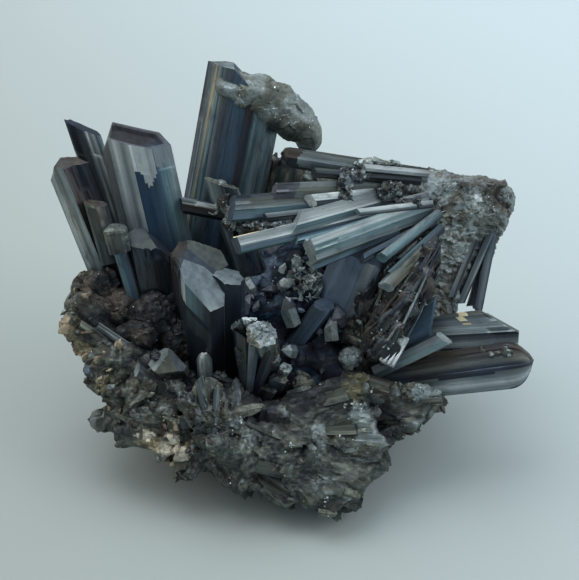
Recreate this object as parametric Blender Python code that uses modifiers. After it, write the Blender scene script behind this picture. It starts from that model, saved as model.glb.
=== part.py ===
"""Stibnite crystal spray: prisms radiating from a hollow in rough massive stibnite, broken flat below.

Metres, +Z up.  The origin is the middle of the flat broken underside, and the front faces -Y.

The crystals are laid out on the display face, a plane that leans back by FACE_LEAN and passes
FACE_HEIGHT above the underside.  A point there is (right, up, out) in millimetres: to the right,
up the face, and out of it towards the front.
"""
import math

import bmesh
import bpy
from mathutils import Matrix, Vector, noise

COLLECTION = "stibnite_crystal_spray"

# ---- driving dimensions, millimetres unless said otherwise ----
FACE_LEAN = math.radians(36.5)      # the display face leans back this far from upright
FACE_HEIGHT = 24.0                  # its middle, above the underside
SEAT_GAP = 0.35                     # clearance between a crystal and what it is seated in
ROUGH_GAP = 3.0                     # a rough mass takes this many times more, for its facets
UNDERSIDE = (19.5, 17.5, 9.0)       # half sizes of the mound that the flat underside is cut from
MATRIX_VOXEL = 0.95                 # fineness of the rough massive stibnite
MATRIX_FACES = 2500
ROUGH_VOXEL = 0.7                   # fineness of the smaller rough masses
HUB_FACES = 640
RIDGE_FACES = 320
SHOULDER_FACES = 240
CRUST_FACES = 380

MM = 0.001

# ---- cross sections, as (side, out) pairs of half width and half thickness ----
PRISM = [(-1.0, 0.1), (-0.7, 0.8), (0.1, 1.0), (0.75, 0.65), (1.0, -0.15), (0.6, -0.9), (-0.65, -0.85)]
BLADE = [(-1.0, 0.0), (-0.8, 0.75), (0.1, 1.0), (0.8, 0.7), (1.0, -0.1), (0.75, -0.8), (-0.75, -0.85)]
BAR = [(-1.0, -0.1), (-0.85, 0.55), (-0.15, 0.95), (0.9, 0.8), (1.0, -0.2), (0.7, -0.9), (-0.7, -0.85)]
RHOMB = [(-1.0, 0.05), (-0.12, 1.0), (1.0, 0.1), (0.4, -0.95), (-0.6, -0.9)]


def face_point(right, up, out):
    """A point of the display face, in metres: up runs up the lean, out is square to the face."""
    sine, cosine = math.sin(FACE_LEAN), math.cos(FACE_LEAN)
    return MM * Vector((right, up * sine - out * cosine, FACE_HEIGHT + up * cosine + out * sine))


def face_direction(right, up, out):
    return face_point(right, up, out) - face_point(0.0, 0.0, 0.0)


def face_outward(bm):
    """Make a closed bmesh's faces point out.  The volume decides, because the crystals are tiny."""
    bmesh.ops.recalc_face_normals(bm, faces=bm.faces)
    if bm.calc_volume(signed=True) < 0.0:
        bmesh.ops.reverse_faces(bm, faces=bm.faces)


def new_object(name, bm):
    """An object in the scene from a bmesh, which is used up."""
    face_outward(bm)
    mesh = bpy.data.meshes.new(name)
    bm.to_mesh(mesh)
    bm.free()
    obj = bpy.data.objects.new(name, mesh)
    bpy.context.scene.collection.objects.link(obj)
    return obj


def bake(obj):
    """Replace an object's mesh by its evaluated one, and drop the modifiers."""
    bpy.context.view_layer.update()
    depsgraph = bpy.context.evaluated_depsgraph_get()
    mesh = bpy.data.meshes.new_from_object(obj.evaluated_get(depsgraph))
    old = obj.data
    obj.modifiers.clear()
    obj.data = mesh
    bpy.data.meshes.remove(old)


def combine(target, tool, operation, solver="EXACT"):
    """Boolean the tool into the target, and remove the tool."""
    modifier = target.modifiers.new("combine", "BOOLEAN")
    modifier.operation = operation
    modifier.solver = solver
    modifier.object = tool
    bake(target)
    bpy.data.objects.remove(tool)


def cut_flat(bm, point, normal):
    """Cut a closed bmesh by a plane, drop what is on the normal's side, and close the cut."""
    geometry = bm.verts[:] + bm.edges[:] + bm.faces[:]
    cut = bmesh.ops.bisect_plane(
        bm, geom=geometry, dist=1e-7, plane_co=point, plane_no=normal, clear_outer=True)
    rim = [item for item in cut["geom_cut"] if isinstance(item, bmesh.types.BMEdge)]
    open_edges = [edge for edge in rim if edge.is_boundary]
    if open_edges:
        bmesh.ops.holes_fill(bm, edges=open_edges, sides=0)


def prism(foot, tip, section, width=2.0, thick=2.0, flare=1.0, ends=((0.0, 0.0, 0.0),)):
    """A crystal from foot to tip.  The section is in half widths and half thicknesses, flare is the
    tip's size over the foot's, and each end plane (side slope, out slope, rise) limits the height to
    length + rise + side slope * side + out slope * out, in millimetres."""
    def make(grow):
        start = face_point(*foot)
        along = (face_point(*tip) - start)
        length = along.length
        axis = along.normalized()
        side = axis.cross(face_direction(0.0, 0.0, 1.0)).normalized()
        out = side.cross(axis)
        steepest = max(abs(a) + abs(b) for a, b, _ in ends)
        spare = MM * (grow + 1.0 + steepest * max(width, thick))
        depth = length + spare + MM * grow
        bm = bmesh.new()
        bmesh.ops.create_cone(
            bm, cap_ends=True, segments=len(section), radius1=1.0, radius2=1.0, depth=2.0)
        for vert in bm.verts:
            turn = math.atan2(-vert.co.x, vert.co.y) / math.tau
            across, deep = section[round(-turn * len(section)) % len(section)]
            at_tip = vert.co.z > 0.0
            size = flare if at_tip else 1.0
            height = depth - MM * grow if at_tip else -MM * grow
            half_side = MM * (width / 2.0 * size + grow)
            half_out = MM * (thick / 2.0 * size + grow)
            vert.co = (across * half_side, deep * half_out, height)
        for side_slope, out_slope, rise in ends:
            top = Vector((0.0, 0.0, length + MM * (rise + grow)))
            cut_flat(bm, top, Vector((-side_slope, -out_slope, 1.0)).normalized())
        frame = Matrix((side, out, axis)).transposed().to_4x4()
        bm.transform(Matrix.Translation(start) @ frame)
        return new_object("prism", bm)
    return make


def lump(centre, radii, level=False, rough=0.0):
    """A rounded lump.  Its radii run right, up and out, or along X, Y and Z where it is level."""
    def make(grow):
        bm = bmesh.new()
        bmesh.ops.create_icosphere(bm, subdivisions=3, radius=1.0)
        place = MM * Vector(centre) if level else face_point(*centre)
        for vert in bm.verts:
            shake = 1.0 + rough * noise.noise(vert.co * 1.7 + Vector(centre))
            ball = Vector([axis * (radius * shake + grow) for axis, radius in zip(vert.co, radii)])
            vert.co = place + (MM * ball if level else face_direction(*ball))
        return new_object("lump", bm)
    return make


def grain(centre, size, turn=0.0):
    """A small blocky druse crystal, fused to what it grows from."""
    def make(grow):
        bm = bmesh.new()
        bmesh.ops.create_icosphere(bm, subdivisions=1, radius=MM * (size + grow))
        spin = Matrix.Rotation(turn, 4, (0.3, 0.5, 0.8))
        stretch = Matrix.Diagonal((0.8, 0.85, 1.25, 1.0))
        bm.transform(Matrix.Translation(face_point(*centre)) @ spin @ stretch)
        return new_object("grain", bm)
    return make


def melt(obj, voxel):
    """Remesh an object of overlapping closed shapes into one skin."""
    remesh = obj.modifiers.new("melt", "REMESH")
    remesh.mode = "VOXEL"
    remesh.voxel_size = MM * voxel
    bake(obj)


def swell(obj, grow):
    """Move a mesh's vertices out along their normals."""
    obj.data.update()
    for vert, normal in [(vert, vert.normal.copy()) for vert in obj.data.vertices]:
        vert.co += normal * (MM * grow)


def rough_mass(lumps, voxel, faces, fibre, depth):
    """Lumps melted into one mass, roughened along the fibre direction (right, up, out)."""
    def make(grow):
        bm = bmesh.new()
        for piece in lumps:
            mass = piece(0.0)
            bm.from_mesh(mass.data)
            bpy.data.objects.remove(mass)
        obj = new_object("mass", bm)
        melt(obj, voxel)
        grooves = face_direction(*fibre).normalized()
        for vert in obj.data.vertices:
            point = vert.co / MM
            flat = point - grooves * (0.75 * point.dot(grooves))
            coarse = noise.noise(point * 0.16)
            ridge = 0.5 - 1.6 * abs(noise.noise(flat * 0.34 + Vector((3.1, 7.7, 1.3))))
            vert.co += vert.normal * (MM * (depth * (coarse + ridge) + grow * ROUGH_GAP))
        if grow:
            melt(obj, voxel)
        thin = obj.modifiers.new("thin", "DECIMATE")
        thin.ratio = min(1.0, 0.5 * faces / len(obj.data.polygons))
        bake(obj)
        swell(obj, grow)
        return obj
    return make


# ---- the massive stibnite: (centre, radii) of its lumps on the display face ----
MATRIX_LUMPS = [
    lump((-2.0, -6.0, -14.5), (24.0, 16.5, 11.0)),
    lump((7.0, 10.0, -13.5), (17.0, 8.0, 6.0)),
    lump((5.5, 16.0, -8.0), (8.0, 3.0, 4.0)),
    lump((0.0, 17.0, -8.0), (5.0, 4.0, 4.0)),
    lump((-28.6, -3.2, -2.5), (4.8, 6.6, 5.5)),
    lump((-24.0, -11.5, -0.5), (5.6, 6.0, 6.0)),
    lump((-18.5, -17.5, 1.0), (7.0, 6.0, 6.0)),
    lump((-10.0, -20.0, 3.0), (7.5, 6.0, 6.0)),
    lump((-1.0, -22.0, 4.0), (8.0, 5.5, 5.5)),
    lump((15.0, -8.0, -3.5), (8.5, 8.0, 6.0)),
    lump((20.0, 4.0, -8.5), (5.5, 7.5, 5.0)),
    lump((-1.0, 0.0, 5.0), UNDERSIDE, level=True),
]
# fibrous blades melted into the mass: foot, tip, width, thickness, flare
MATRIX_BLADES = [
    ((-9.5, -20.5, 2.0), (9.5, -15.0, 4.5), 4.0, 4.5, 1.3),
    ((-8.0, -21.0, 3.0), (13.5, -19.5, 5.5), 5.0, 4.5, 1.3),
    ((-8.0, -21.5, 3.0), (13.6, -23.6, 5.0), 5.0, 4.5, 1.2),
    ((-8.0, -22.0, 3.5), (9.5, -29.0, 6.5), 5.0, 5.0, 1.2),
    ((-8.5, -22.0, 4.0), (7.0, -31.3, 7.8), 3.5, 4.0, 0.9),
    ((-10.0, -22.0, 4.0), (0.5, -29.5, 7.0), 4.5, 5.0, 0.9),
    ((-13.0, -21.0, 4.0), (-5.5, -28.0, 6.5), 5.0, 5.0, 0.9),
    ((-14.0, -19.0, 3.0), (-15.0, -26.5, 6.0), 5.0, 5.0, 0.8),
    ((-12.0, -18.0, 2.0), (-31.0, -5.0, 1.5), 3.6, 4.5, 0.8),
    ((-12.0, -18.5, 2.5), (-29.5, -12.0, 1.5), 3.4, 4.5, 0.8),
    ((-11.0, -20.0, 3.0), (-25.5, -21.0, 2.5), 4.0, 4.5, 0.8),
    ((9.0, -17.0, 2.0), (22.2, -15.8, 4.5), 3.4, 4.0, 0.7),
    ((9.0, -17.0, 2.0), (18.5, -19.6, 4.5), 3.4, 4.0, 0.7),
    ((8.0, -13.0, 2.0), (15.0, -14.6, 6.5), 4.0, 3.0, 0.9),
]
# crisp pieces on it that stand proud: a capped stub and a thin bright prism on the left, a smooth
# blade below, a blunt facetted crystal, and a slim prism beside it
MATRIX_CRISP = [
    prism((-21.5, -19.5, 1.0), (-28.3, -19.2, 1.6), PRISM, width=2.8, thick=2.8,
          ends=((0.3, -0.3, 0.0),)),
    prism((-23.0, -9.6, 3.0), (-28.8, -5.4, 4.6), BLADE, width=1.4, thick=1.6,
          ends=((0.2, -0.3, 0.0),)),
    prism((2.4, -25.6, 6.6), (-10.6, -22.2, 9.6), BLADE, width=4.2, thick=3.0, flare=0.85,
          ends=((0.6, -0.2, 0.0),)),
    prism((-18.6, -12.4, -1.0), (-18.0, -10.4, 6.4), PRISM, width=5.2, thick=3.8,
          ends=((0.7, -0.3, 0.9), (-0.5, 0.3, 0.6), (0.0, -0.9, 0.9))),
    prism((-16.6, -15.6, 4.6), (-21.8, -11.4, 5.6), PRISM, width=2.0, thick=1.8,
          ends=((0.3, -0.4, 0.0),)),
]
MATRIX_FIBRE = (0.9, -0.25, 0.35)
MATRIX_ROUGH = 1.1

# druse on the left rim and on the lower ledges, fused to the massive stibnite
RIM_DRUSE = [
    ((-31.5, -4.5, 2.5), 1.2), ((-28.5, -9.5, 4.5), 1.1), ((-30.0, -1.0, 2.0), 1.1),
    ((-21.4, -19.8, 6.0), 1.1), ((-18.8, -21.8, 6.8), 1.2), ((-16.0, -19.4, 7.2), 1.3),
    ((-15.6, -22.8, 7.6), 1.2), ((-25.5, -14.0, 5.0), 1.1), ((-27.5, -13.0, 4.0), 1.0),
    ((8.5, -14.0, 5.5), 1.4), ((10.4, -13.8, 6.0), 1.3),
]

# small crystals lining the hollow, fused to the crust they grow from
HOLLOW_LUMPS = [
    lump((0.5, -6.0, -5.5), (10.0, 9.0, 3.4), rough=0.5),
    lump((3.0, -12.5, -2.6), (7.5, 4.5, 3.2), rough=0.5),
    lump((-1.0, 2.5, -5.4), (5.5, 4.5, 3.0), rough=0.5),
    lump((4.5, -2.5, -3.6), (4.0, 3.5, 2.4), rough=0.5),
]
HOLLOW_GRAINS = [
    ((-6.0, 0.7, -2.6), 1.1), ((-0.7, 1.0, -2.4), 1.2), ((0.8, 3.8, -2.6), 1.0),
    ((0.2, -3.7, -1.8), 1.8), ((7.2, -4.0, -1.8), 1.5), ((6.3, -6.4, -1.6), 1.3),
    ((-0.2, -9.0, -1.2), 1.4), ((-6.5, -2.4, -2.6), 1.3), ((-4.4, -2.2, -2.6), 1.2),
    ((3.0, 0.6, -1.6), 1.6), ((2.0, -13.5, 1.0), 1.6), ((8.6, -9.8, 0.0), 1.8),
]

# ---- the fan: crystals that run left from a granular hub, and slim ones on its right edge ----
HUB_LUMPS = [
    lump((20.0, 15.6, -1.0), (5.8, 3.2, 4.4), rough=0.3),
    lump((27.5, 13.4, -2.0), (6.0, 3.7, 4.2), rough=0.3),
    lump((24.5, 9.0, -0.5), (5.4, 4.6, 4.6), rough=0.3),
    lump((29.5, 10.0, -3.0), (3.2, 4.2, 3.4), rough=0.3),
    lump((31.8, 14.0, -3.0), (2.5, 2.1, 2.4), rough=0.3),
    lump((22.6, -0.5, 1.0), (2.3, 8.0, 3.0), rough=0.3),
    lump((14.5, 14.2, 3.5), (2.8, 2.0, 2.4), rough=0.3),
    lump((8.4, 14.8, 4.6), (1.3, 3.0, 2.0), rough=0.3),
    lump((16.6, 16.2, 2.0), (3.2, 1.8, 2.4), rough=0.3),
    lump((11.6, 16.8, 3.4), (3.6, 1.2, 1.6), rough=0.3),
]
FAN_CRYSTALS = [
    dict(foot=(20.0, 16.5, 0.0), tip=(-1.0, 19.3, 4.0), section=BAR, width=3.2, thick=3.4,
         flare=0.9, ends=((0.15, -0.25, 0.0),)),
    dict(foot=(20.0, 15.2, 1.5), tip=(-2.2, 14.0, 6.0), section=BAR, width=2.5, thick=2.2,
         ends=((-0.3, -0.2, 0.0),)),
    dict(foot=(20.0, 14.2, 1.0), tip=(-8.2, 11.5, 6.5), section=BAR, width=3.8, thick=2.6,
         ends=((-0.2, -0.3, 0.0),)),
    dict(foot=(12.0, 13.8, 3.5), tip=(3.0, 12.6, 6.6), section=BAR, width=1.9, thick=2.0,
         ends=((0.5, -0.4, 0.0),)),
    dict(foot=(15.0, 13.4, 3.6), tip=(0.6, 9.2, 7.2), section=BAR, width=3.4, thick=2.2,
         ends=((-0.8, -0.3, 0.0),)),
    dict(foot=(20.0, 13.0, 2.5), tip=(-7.4, 6.5, 8.8), section=BAR, width=2.2, thick=2.2,
         flare=0.8, ends=((0.1, -0.4, 0.0),)),
    dict(foot=(20.0, 11.8, 3.0), tip=(2.9, 5.4, 9.6), section=BAR, width=3.6, thick=3.0,
         ends=((0.0, -0.15, 0.0),)),
    dict(foot=(21.5, 11.0, 3.5), tip=(13.0, 4.5, 8.0), section=BAR, width=2.0, thick=2.0,
         ends=((0.3, -0.2, 0.0),)),
    dict(foot=(22.0, 9.0, 3.0), tip=(14.2, 2.0, 6.2), section=BAR, width=2.0, thick=2.0,
         ends=((0.3, -0.2, 0.0),)),
    dict(foot=(15.5, 8.6, 5.5), tip=(3.0, 3.4, 6.6), section=BAR, width=1.6, thick=1.6,
         ends=((0.4, -0.2, 0.0),)),
    dict(foot=(28.6, 8.5, -2.5), tip=(25.3, -2.2, -1.0), section=BAR, width=1.3, thick=2.4,
         ends=((0.5, 0.0, 0.0),)),
    dict(foot=(31.4, 9.0, -3.2), tip=(28.4, -3.0, -0.5), section=BAR, width=2.4, thick=2.8,
         ends=((-0.6, 0.0, 0.0),)),
    dict(foot=(26.8, 7.0, -4.0), tip=(24.6, -1.8, -3.0), section=BAR, width=1.5, thick=2.2,
         ends=((0.4, 0.0, 0.0),)),
]

# ---- single crystals, in the order in which they take their room: each is notched by those before ----
TALL_SECTION = [(-6.0, -1.6), (-4.6, 0.6), (-2.9, 2.3), (0.1, 3.2), (2.4, 3.3), (4.7, 2.1),
                (6.3, -0.8), (4.2, -3.9), (-3.8, -4.1)]
BROAD_SECTION = [(-5.0, -0.5), (-2.9, 2.6), (0.5, 3.4), (2.8, 3.0), (5.2, 0.3), (3.6, -3.2), (-3.2, -3.4)]
CENTRE_SECTION = [(-4.3, 0.0), (-3.0, 2.3), (0.2, 3.4), (3.6, 1.8), (4.3, -0.6), (2.4, -3.2), (-2.8, -3.2)]

SHOULDER_LUMPS = [
    lump((-7.8, 30.2, 0.0), (2.6, 2.2, 4.0), rough=0.25),
    lump((-5.2, 29.2, -0.3), (3.2, 2.7, 4.2), rough=0.25),
    lump((-2.2, 27.6, -1.0), (3.2, 2.6, 4.0), rough=0.25),
    lump((0.9, 25.7, -1.8), (2.6, 2.5, 3.6), rough=0.25),
    lump((2.9, 23.4, -2.4), (1.5, 1.9, 2.8), rough=0.25),
]
RIDGE_LUMPS = [
    lump((13.0, -7.4, 4.4), (2.3, 2.6, 3.2), rough=0.4),
    lump((14.6, -4.6, 4.6), (2.5, 3.0, 3.0), rough=0.4),
    lump((16.4, -1.4, 4.6), (2.6, 3.2, 2.8), rough=0.4),
    lump((18.4, 2.0, 4.2), (2.4, 3.4, 2.6), rough=0.4),
    lump((20.0, 5.2, 3.4), (1.9, 2.6, 2.2), rough=0.4),
    lump((12.6, -2.6, 1.6), (2.6, 2.6, 2.6), rough=0.4),
    lump((16.0, 2.0, 2.2), (2.6, 2.8, 2.6), rough=0.4),
]

CRYSTALS = {
    "tall_crystal": [
        prism((-12.6, 3.5, -8.0), (-6.4, 32.9, 0.0), TALL_SECTION,
              ends=((0.05, -0.1, 0.0), (-0.7, 0.0, -1.4))),
        rough_mass(SHOULDER_LUMPS, ROUGH_VOXEL, SHOULDER_FACES, (0.8, -0.5, 0.2), 0.5)],
    "broad_left_crystal": [
        prism((-18.6, 0.0, -5.0), (-23.2, 23.8, 2.2), BROAD_SECTION,
              ends=((-0.42, -0.3, -1.3), (1.6, -0.2, 5.0)))],
    "far_left_crystal": [
        prism((-26.5, 1.0, -3.5), (-33.0, 19.3, 1.2), RHOMB, width=6.3, thick=5.4,
              ends=((-0.3, -0.25, -0.6), (1.2, 0.0, 1.6)))],
    "left_back_crystal": [
        prism((-26.5, 7.0, -9.5), (-31.8, 25.0, -5.0), BLADE, width=4.6, thick=4.0,
              ends=((-0.45, -0.15, 0.0),))],
    "centre_crystal": [
        prism((-12.2, -13.5, -5.0), (-10.9, 3.8, 9.6), CENTRE_SECTION,
              ends=((-0.15, -0.3, 0.3), (0.8, -4.2, 9.7), (-0.7, -0.6, 1.0))),
        grain((-12.2, -10.6, 1.2), 1.6, 0.4)],
    "dark_column": [
        prism((-19.2, -4.0, -3.5), (-20.5, 7.6, 2.4), PRISM, width=6.8, thick=5.0,
              ends=((-0.2, -0.35, 0.0), (-1.2, 0.0, 1.6)))],
    "slim_capped_crystal": [
        prism((-22.2, -4.0, -0.5), (-25.0, 7.6, 4.0), PRISM, width=2.1, thick=2.0,
              ends=((0.0, -0.2, 0.0),)),
        prism((-24.4, 5.6, 3.5), (-25.2, 9.2, 4.6), PRISM, width=3.5, thick=3.2,
              ends=((-0.2, -0.3, 0.0),))],
    "back_blade": [
        prism((-1.2, -6.0, -9.5), (-4.2, 10.0, -5.6), BLADE, width=9.2, thick=4.0,
              ends=((0.25, -0.3, 0.0),))],
    "blue_crystal": [
        prism((6.2, -7.0, -6.5), (11.0, 5.4, 2.2), PRISM, width=7.3, thick=5.2,
              ends=((-0.25, -0.3, 0.0), (0.6, -0.1, 1.2)))],
    "blue_side_crystal": [
        prism((-0.5, -10.0, -4.8), (5.2, -2.2, 0.4), PRISM, width=3.4, thick=3.0,
              ends=((0.3, -0.3, 0.0),))],
    "upright_splinter": [
        prism((-6.0, 2.5, -4.4), (-10.0, 15.6, 0.7), BLADE, width=4.4, thick=2.4,
              ends=((-0.7, -0.1, 0.2),)),
        prism((-8.2, 11.2, -0.3), (-16.0, 12.6, 0.2), PRISM, width=2.4, thick=2.2,
              ends=((0.3, -0.2, 0.0),))],
    "crystal_fan": [
        rough_mass(HUB_LUMPS, ROUGH_VOXEL, HUB_FACES, (1.0, 0.3, 0.2), 0.6)] + [
        prism(**shape) for shape in FAN_CRYSTALS],
    "broken_ridge": [
        rough_mass(RIDGE_LUMPS, ROUGH_VOXEL, RIDGE_FACES, (0.6, 0.75, 0.1), 0.6),
        prism((21.0, 7.5, 3.4), (13.6, 0.4, 7.4), BLADE, width=2.2, thick=2.0,
              ends=((0.4, -0.2, 0.0),)),
        prism((11.0, -6.4, 0.0), (19.0, 4.6, 4.2), BLADE, width=2.8, thick=2.4,
              ends=((0.4, -0.2, 0.0),)),
        prism((15.8, -6.4, 2.4), (14.2, -8.6, 8.0), PRISM, width=3.0, thick=3.0,
              ends=((0.2, -0.9, 0.0),))],
    "blue_blade": [
        prism((12.0, -10.0, 0.5), (21.4, -4.0, 4.8), BLADE, width=5.4, thick=2.4,
              ends=((-0.9, -0.1, 0.0),)),
        prism((12.5, -12.0, 2.0), (23.2, -6.6, 5.2), BLADE, width=2.4, thick=2.4,
              ends=((0.5, -0.2, 0.0),))],
    "right_upper_blade": [
        prism((19.0, -7.4, -0.6), (33.0, -5.6, 3.0), BLADE, width=3.2, thick=2.4, flare=1.8,
              ends=((1.5, -0.1, -0.4), (-0.15, 0.0, 0.4)))],
    "right_lower_blade": [
        prism((14.5, -13.6, -0.5), (34.9, -10.4, 4.2), BLADE, width=6.2, thick=4.2, flare=1.1,
              ends=((0.5, -0.2, 0.1), (-0.5, -0.1, 0.0)))],
    "broken_centre_crystal": [
        prism((-5.8, -16.6, 1.2), (-3.8, -7.6, 6.4), PRISM, width=1.9, thick=2.4, flare=3.2,
              ends=((-0.3, -0.4, 0.0), (1.2, -0.2, 1.0))),
        prism((-3.8, -9.8, 4.8), (-3.0, -4.6, 7.2), PRISM, width=3.5, thick=3.0, flare=1.1,
              ends=((0.4, -0.5, 0.0), (-0.9, -0.6, 1.2)))],
    "fibrous_blades": [
        prism((-10.4, -21.0, 4.6), (-12.2, -13.0, 9.0), BLADE, width=3.4, thick=2.4,
              ends=((0.6, -0.3, 0.0),)),
        prism((-10.4, -21.0, 4.6), (-15.6, -13.4, 8.0), BLADE, width=3.4, thick=2.4,
              ends=((-0.4, -0.3, 0.0),)),
        prism((-10.0, -21.2, 5.0), (-11.8, -16.6, 9.8), BLADE, width=3.2, thick=2.4,
              ends=((0.3, -0.3, 0.0),))],
    "rear_tall_crystal": [
        prism((-9.0, 2.0, -15.0), (-13.0, 15.0, -19.0), PRISM, width=7.0, thick=5.0,
              ends=((0.3, 0.3, 0.0),))],
    "rear_slim_crystal": [
        prism((0.0, 4.0, -17.0), (3.0, 15.5, -21.5), PRISM, width=4.4, thick=4.0,
              ends=((-0.4, 0.3, 0.0),))],
    "rear_side_crystal": [
        prism((9.0, -2.0, -19.0), (17.0, 6.0, -23.0), BLADE, width=5.2, thick=4.0,
              ends=((0.4, 0.2, 0.0),))],
    "rear_low_crystal": [
        prism((-14.0, -3.0, -18.0), (-22.5, 3.5, -21.0), PRISM, width=4.6, thick=4.2,
              ends=((0.2, 0.4, 0.0),))],
}

# colour (linear), roughness, metallic
FINISHES = {
    "bright": ((0.16, 0.19, 0.22), 0.28, 0.9),
    "dark": ((0.03, 0.035, 0.045), 0.35, 0.8),
    "blue": ((0.04, 0.08, 0.14), 0.30, 0.9),
    "rough": ((0.05, 0.045, 0.042), 0.55, 0.6),
    "druse": ((0.16, 0.14, 0.15), 0.45, 0.3),
}
FINISH_OF = {
    "matrix": "rough", "hollow_druse": "druse", "crystal_fan": "bright", "tall_crystal": "blue",
    "broad_left_crystal": "blue", "blue_crystal": "blue", "blue_side_crystal": "blue",
    "back_blade": "dark", "dark_column": "dark", "broken_ridge": "rough",
}


def corners(obj):
    points = [obj.matrix_world @ Vector(corner) for corner in obj.bound_box]
    low = Vector([min(point[axis] for point in points) for axis in range(3)])
    high = Vector([max(point[axis] for point in points) for axis in range(3)])
    return low, high


def near(first, second):
    """Whether the boxes of two objects meet."""
    low_a, high_a = corners(first)
    low_b, high_b = corners(second)
    return all(low_a[axis] < high_b[axis] and low_b[axis] < high_a[axis] for axis in range(3))


def joined(pieces, grow, solver="EXACT"):
    """One solid of several pieces that overlap."""
    whole = pieces[0](grow)
    for piece in pieces[1:]:
        combine(whole, piece(grow), "UNION", solver)
    return whole


def make_room(obj, pieces, solver="EXACT"):
    """Notch an object round other pieces, one by one, each grown by the seating clearance."""
    for piece in pieces:
        tool = piece(SEAT_GAP)
        bpy.context.view_layer.update()
        if near(obj, tool):
            combine(obj, tool, "DIFFERENCE", solver)
        else:
            bpy.data.objects.remove(tool)


def keep_largest(obj):
    """Drop the crumbs that notching leaves: bodies that share no whole edge with the largest one."""
    bm = bmesh.new()
    bm.from_mesh(obj.data)
    bmesh.ops.triangulate(bm, faces=bm.faces)
    left = set(bm.faces)
    bodies = []
    while left:
        stack = [left.pop()]
        body = list(stack)
        while stack:
            for edge in stack.pop().edges:
                for face in edge.link_faces:
                    if len(edge.link_faces) == 2 and face in left:
                        left.discard(face)
                        body.append(face)
                        stack.append(face)
        bodies.append(body)
    bodies.sort(key=lambda body: sum(face.calc_area() for face in body), reverse=True)
    crumbs = [face for body in bodies[1:] for face in body]
    bmesh.ops.delete(bm, geom=crumbs, context="FACES")
    face_outward(bm)
    bm.to_mesh(obj.data)
    bm.free()


def material(finish):
    found = bpy.data.materials.get(finish)
    if found:
        return found
    colour, roughness, metallic = FINISHES[finish]
    made = bpy.data.materials.new(finish)
    made.use_nodes = True
    shader = made.node_tree.nodes["Principled BSDF"]
    shader.inputs["Base Color"].default_value = (*colour, 1.0)
    shader.inputs["Roughness"].default_value = roughness
    shader.inputs["Metallic"].default_value = metallic
    return made


def finish(obj, name, home):
    """Name a part, give it its material and file it with the others."""
    keep_largest(obj)
    obj.name = name
    obj.data.name = name
    obj.data.materials.clear()
    obj.data.materials.append(material(FINISH_OF.get(name, "bright")))
    bpy.context.scene.collection.objects.unlink(obj)
    home.objects.link(obj)


def make_crystals(home):
    """Every crystal group, each notched by the ones made before it.  Returns their pieces."""
    seated = []
    for name, pieces in CRYSTALS.items():
        whole = joined(pieces, 0.0)
        make_room(whole, seated)
        finish(whole, name, home)
        seated += pieces
    return seated


def make_hollow_druse(home, seated):
    """The crust of the hollow with its small crystals, notched round the big ones."""
    crust = rough_mass(HOLLOW_LUMPS, ROUGH_VOXEL, CRUST_FACES, (0.2, 1.0, 0.3), 0.7)
    pieces = [crust] + [
        grain(centre, size, turn) for turn, (centre, size) in enumerate(HOLLOW_GRAINS)]
    whole = joined(pieces, 0.0)
    make_room(whole, seated)
    finish(whole, "hollow_druse", home)
    return pieces


def make_matrix(home, seated):
    """The massive stibnite, with rim druse, cut flat below and notched round all that it holds.

    Its folds defeat the exact solver, so this one mesh is combined by the manifold one.
    """
    blades = [
        prism(foot, tip, BLADE, width=width, thick=thick, flare=flare)
        for foot, tip, width, thick, flare in MATRIX_BLADES]
    mass = rough_mass(MATRIX_LUMPS + blades, MATRIX_VOXEL, MATRIX_FACES, MATRIX_FIBRE, MATRIX_ROUGH)
    druse = [grain(centre, size, turn) for turn, (centre, size) in enumerate(RIM_DRUSE)]
    whole = joined([mass] + MATRIX_CRISP + druse, 0.0, "MANIFOLD")
    bm = bmesh.new()
    bm.from_mesh(whole.data)
    cut_flat(bm, Vector((0.0, 0.0, 0.0)), Vector((0.0, 0.0, -1.0)))
    bm.to_mesh(whole.data)
    bm.free()
    make_room(whole, seated, "MANIFOLD")
    finish(whole, "matrix", home)


def main():
    for obj in list(bpy.data.objects):
        bpy.data.objects.remove(obj)
    home = bpy.data.collections.new(COLLECTION)
    bpy.context.scene.collection.children.link(home)
    seated = make_crystals(home)
    seated += make_hollow_druse(home, seated)
    make_matrix(home, seated)


main()
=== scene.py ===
import math

import bpy
import numpy as np
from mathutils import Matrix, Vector
from mathutils.bvhtree import BVHTree


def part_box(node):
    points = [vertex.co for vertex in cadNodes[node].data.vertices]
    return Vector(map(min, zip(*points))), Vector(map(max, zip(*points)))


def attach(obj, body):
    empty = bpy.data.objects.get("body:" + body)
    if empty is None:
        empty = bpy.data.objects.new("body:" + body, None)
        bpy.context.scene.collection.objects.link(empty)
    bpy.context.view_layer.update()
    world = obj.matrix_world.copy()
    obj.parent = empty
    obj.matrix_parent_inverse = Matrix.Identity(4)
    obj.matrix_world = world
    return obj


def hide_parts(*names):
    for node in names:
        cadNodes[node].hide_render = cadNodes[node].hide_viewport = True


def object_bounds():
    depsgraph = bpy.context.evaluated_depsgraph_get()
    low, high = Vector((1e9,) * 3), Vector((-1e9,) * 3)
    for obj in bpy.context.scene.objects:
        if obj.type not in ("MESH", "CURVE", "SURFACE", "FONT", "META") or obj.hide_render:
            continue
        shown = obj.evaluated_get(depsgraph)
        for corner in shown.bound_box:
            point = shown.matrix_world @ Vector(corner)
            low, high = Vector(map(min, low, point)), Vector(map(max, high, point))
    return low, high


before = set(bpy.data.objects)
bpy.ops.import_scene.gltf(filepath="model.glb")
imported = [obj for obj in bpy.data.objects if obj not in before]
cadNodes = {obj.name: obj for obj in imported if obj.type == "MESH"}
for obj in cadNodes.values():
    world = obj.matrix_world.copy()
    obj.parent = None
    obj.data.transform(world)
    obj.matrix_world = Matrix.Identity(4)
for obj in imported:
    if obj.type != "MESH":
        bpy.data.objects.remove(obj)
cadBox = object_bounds()

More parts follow.
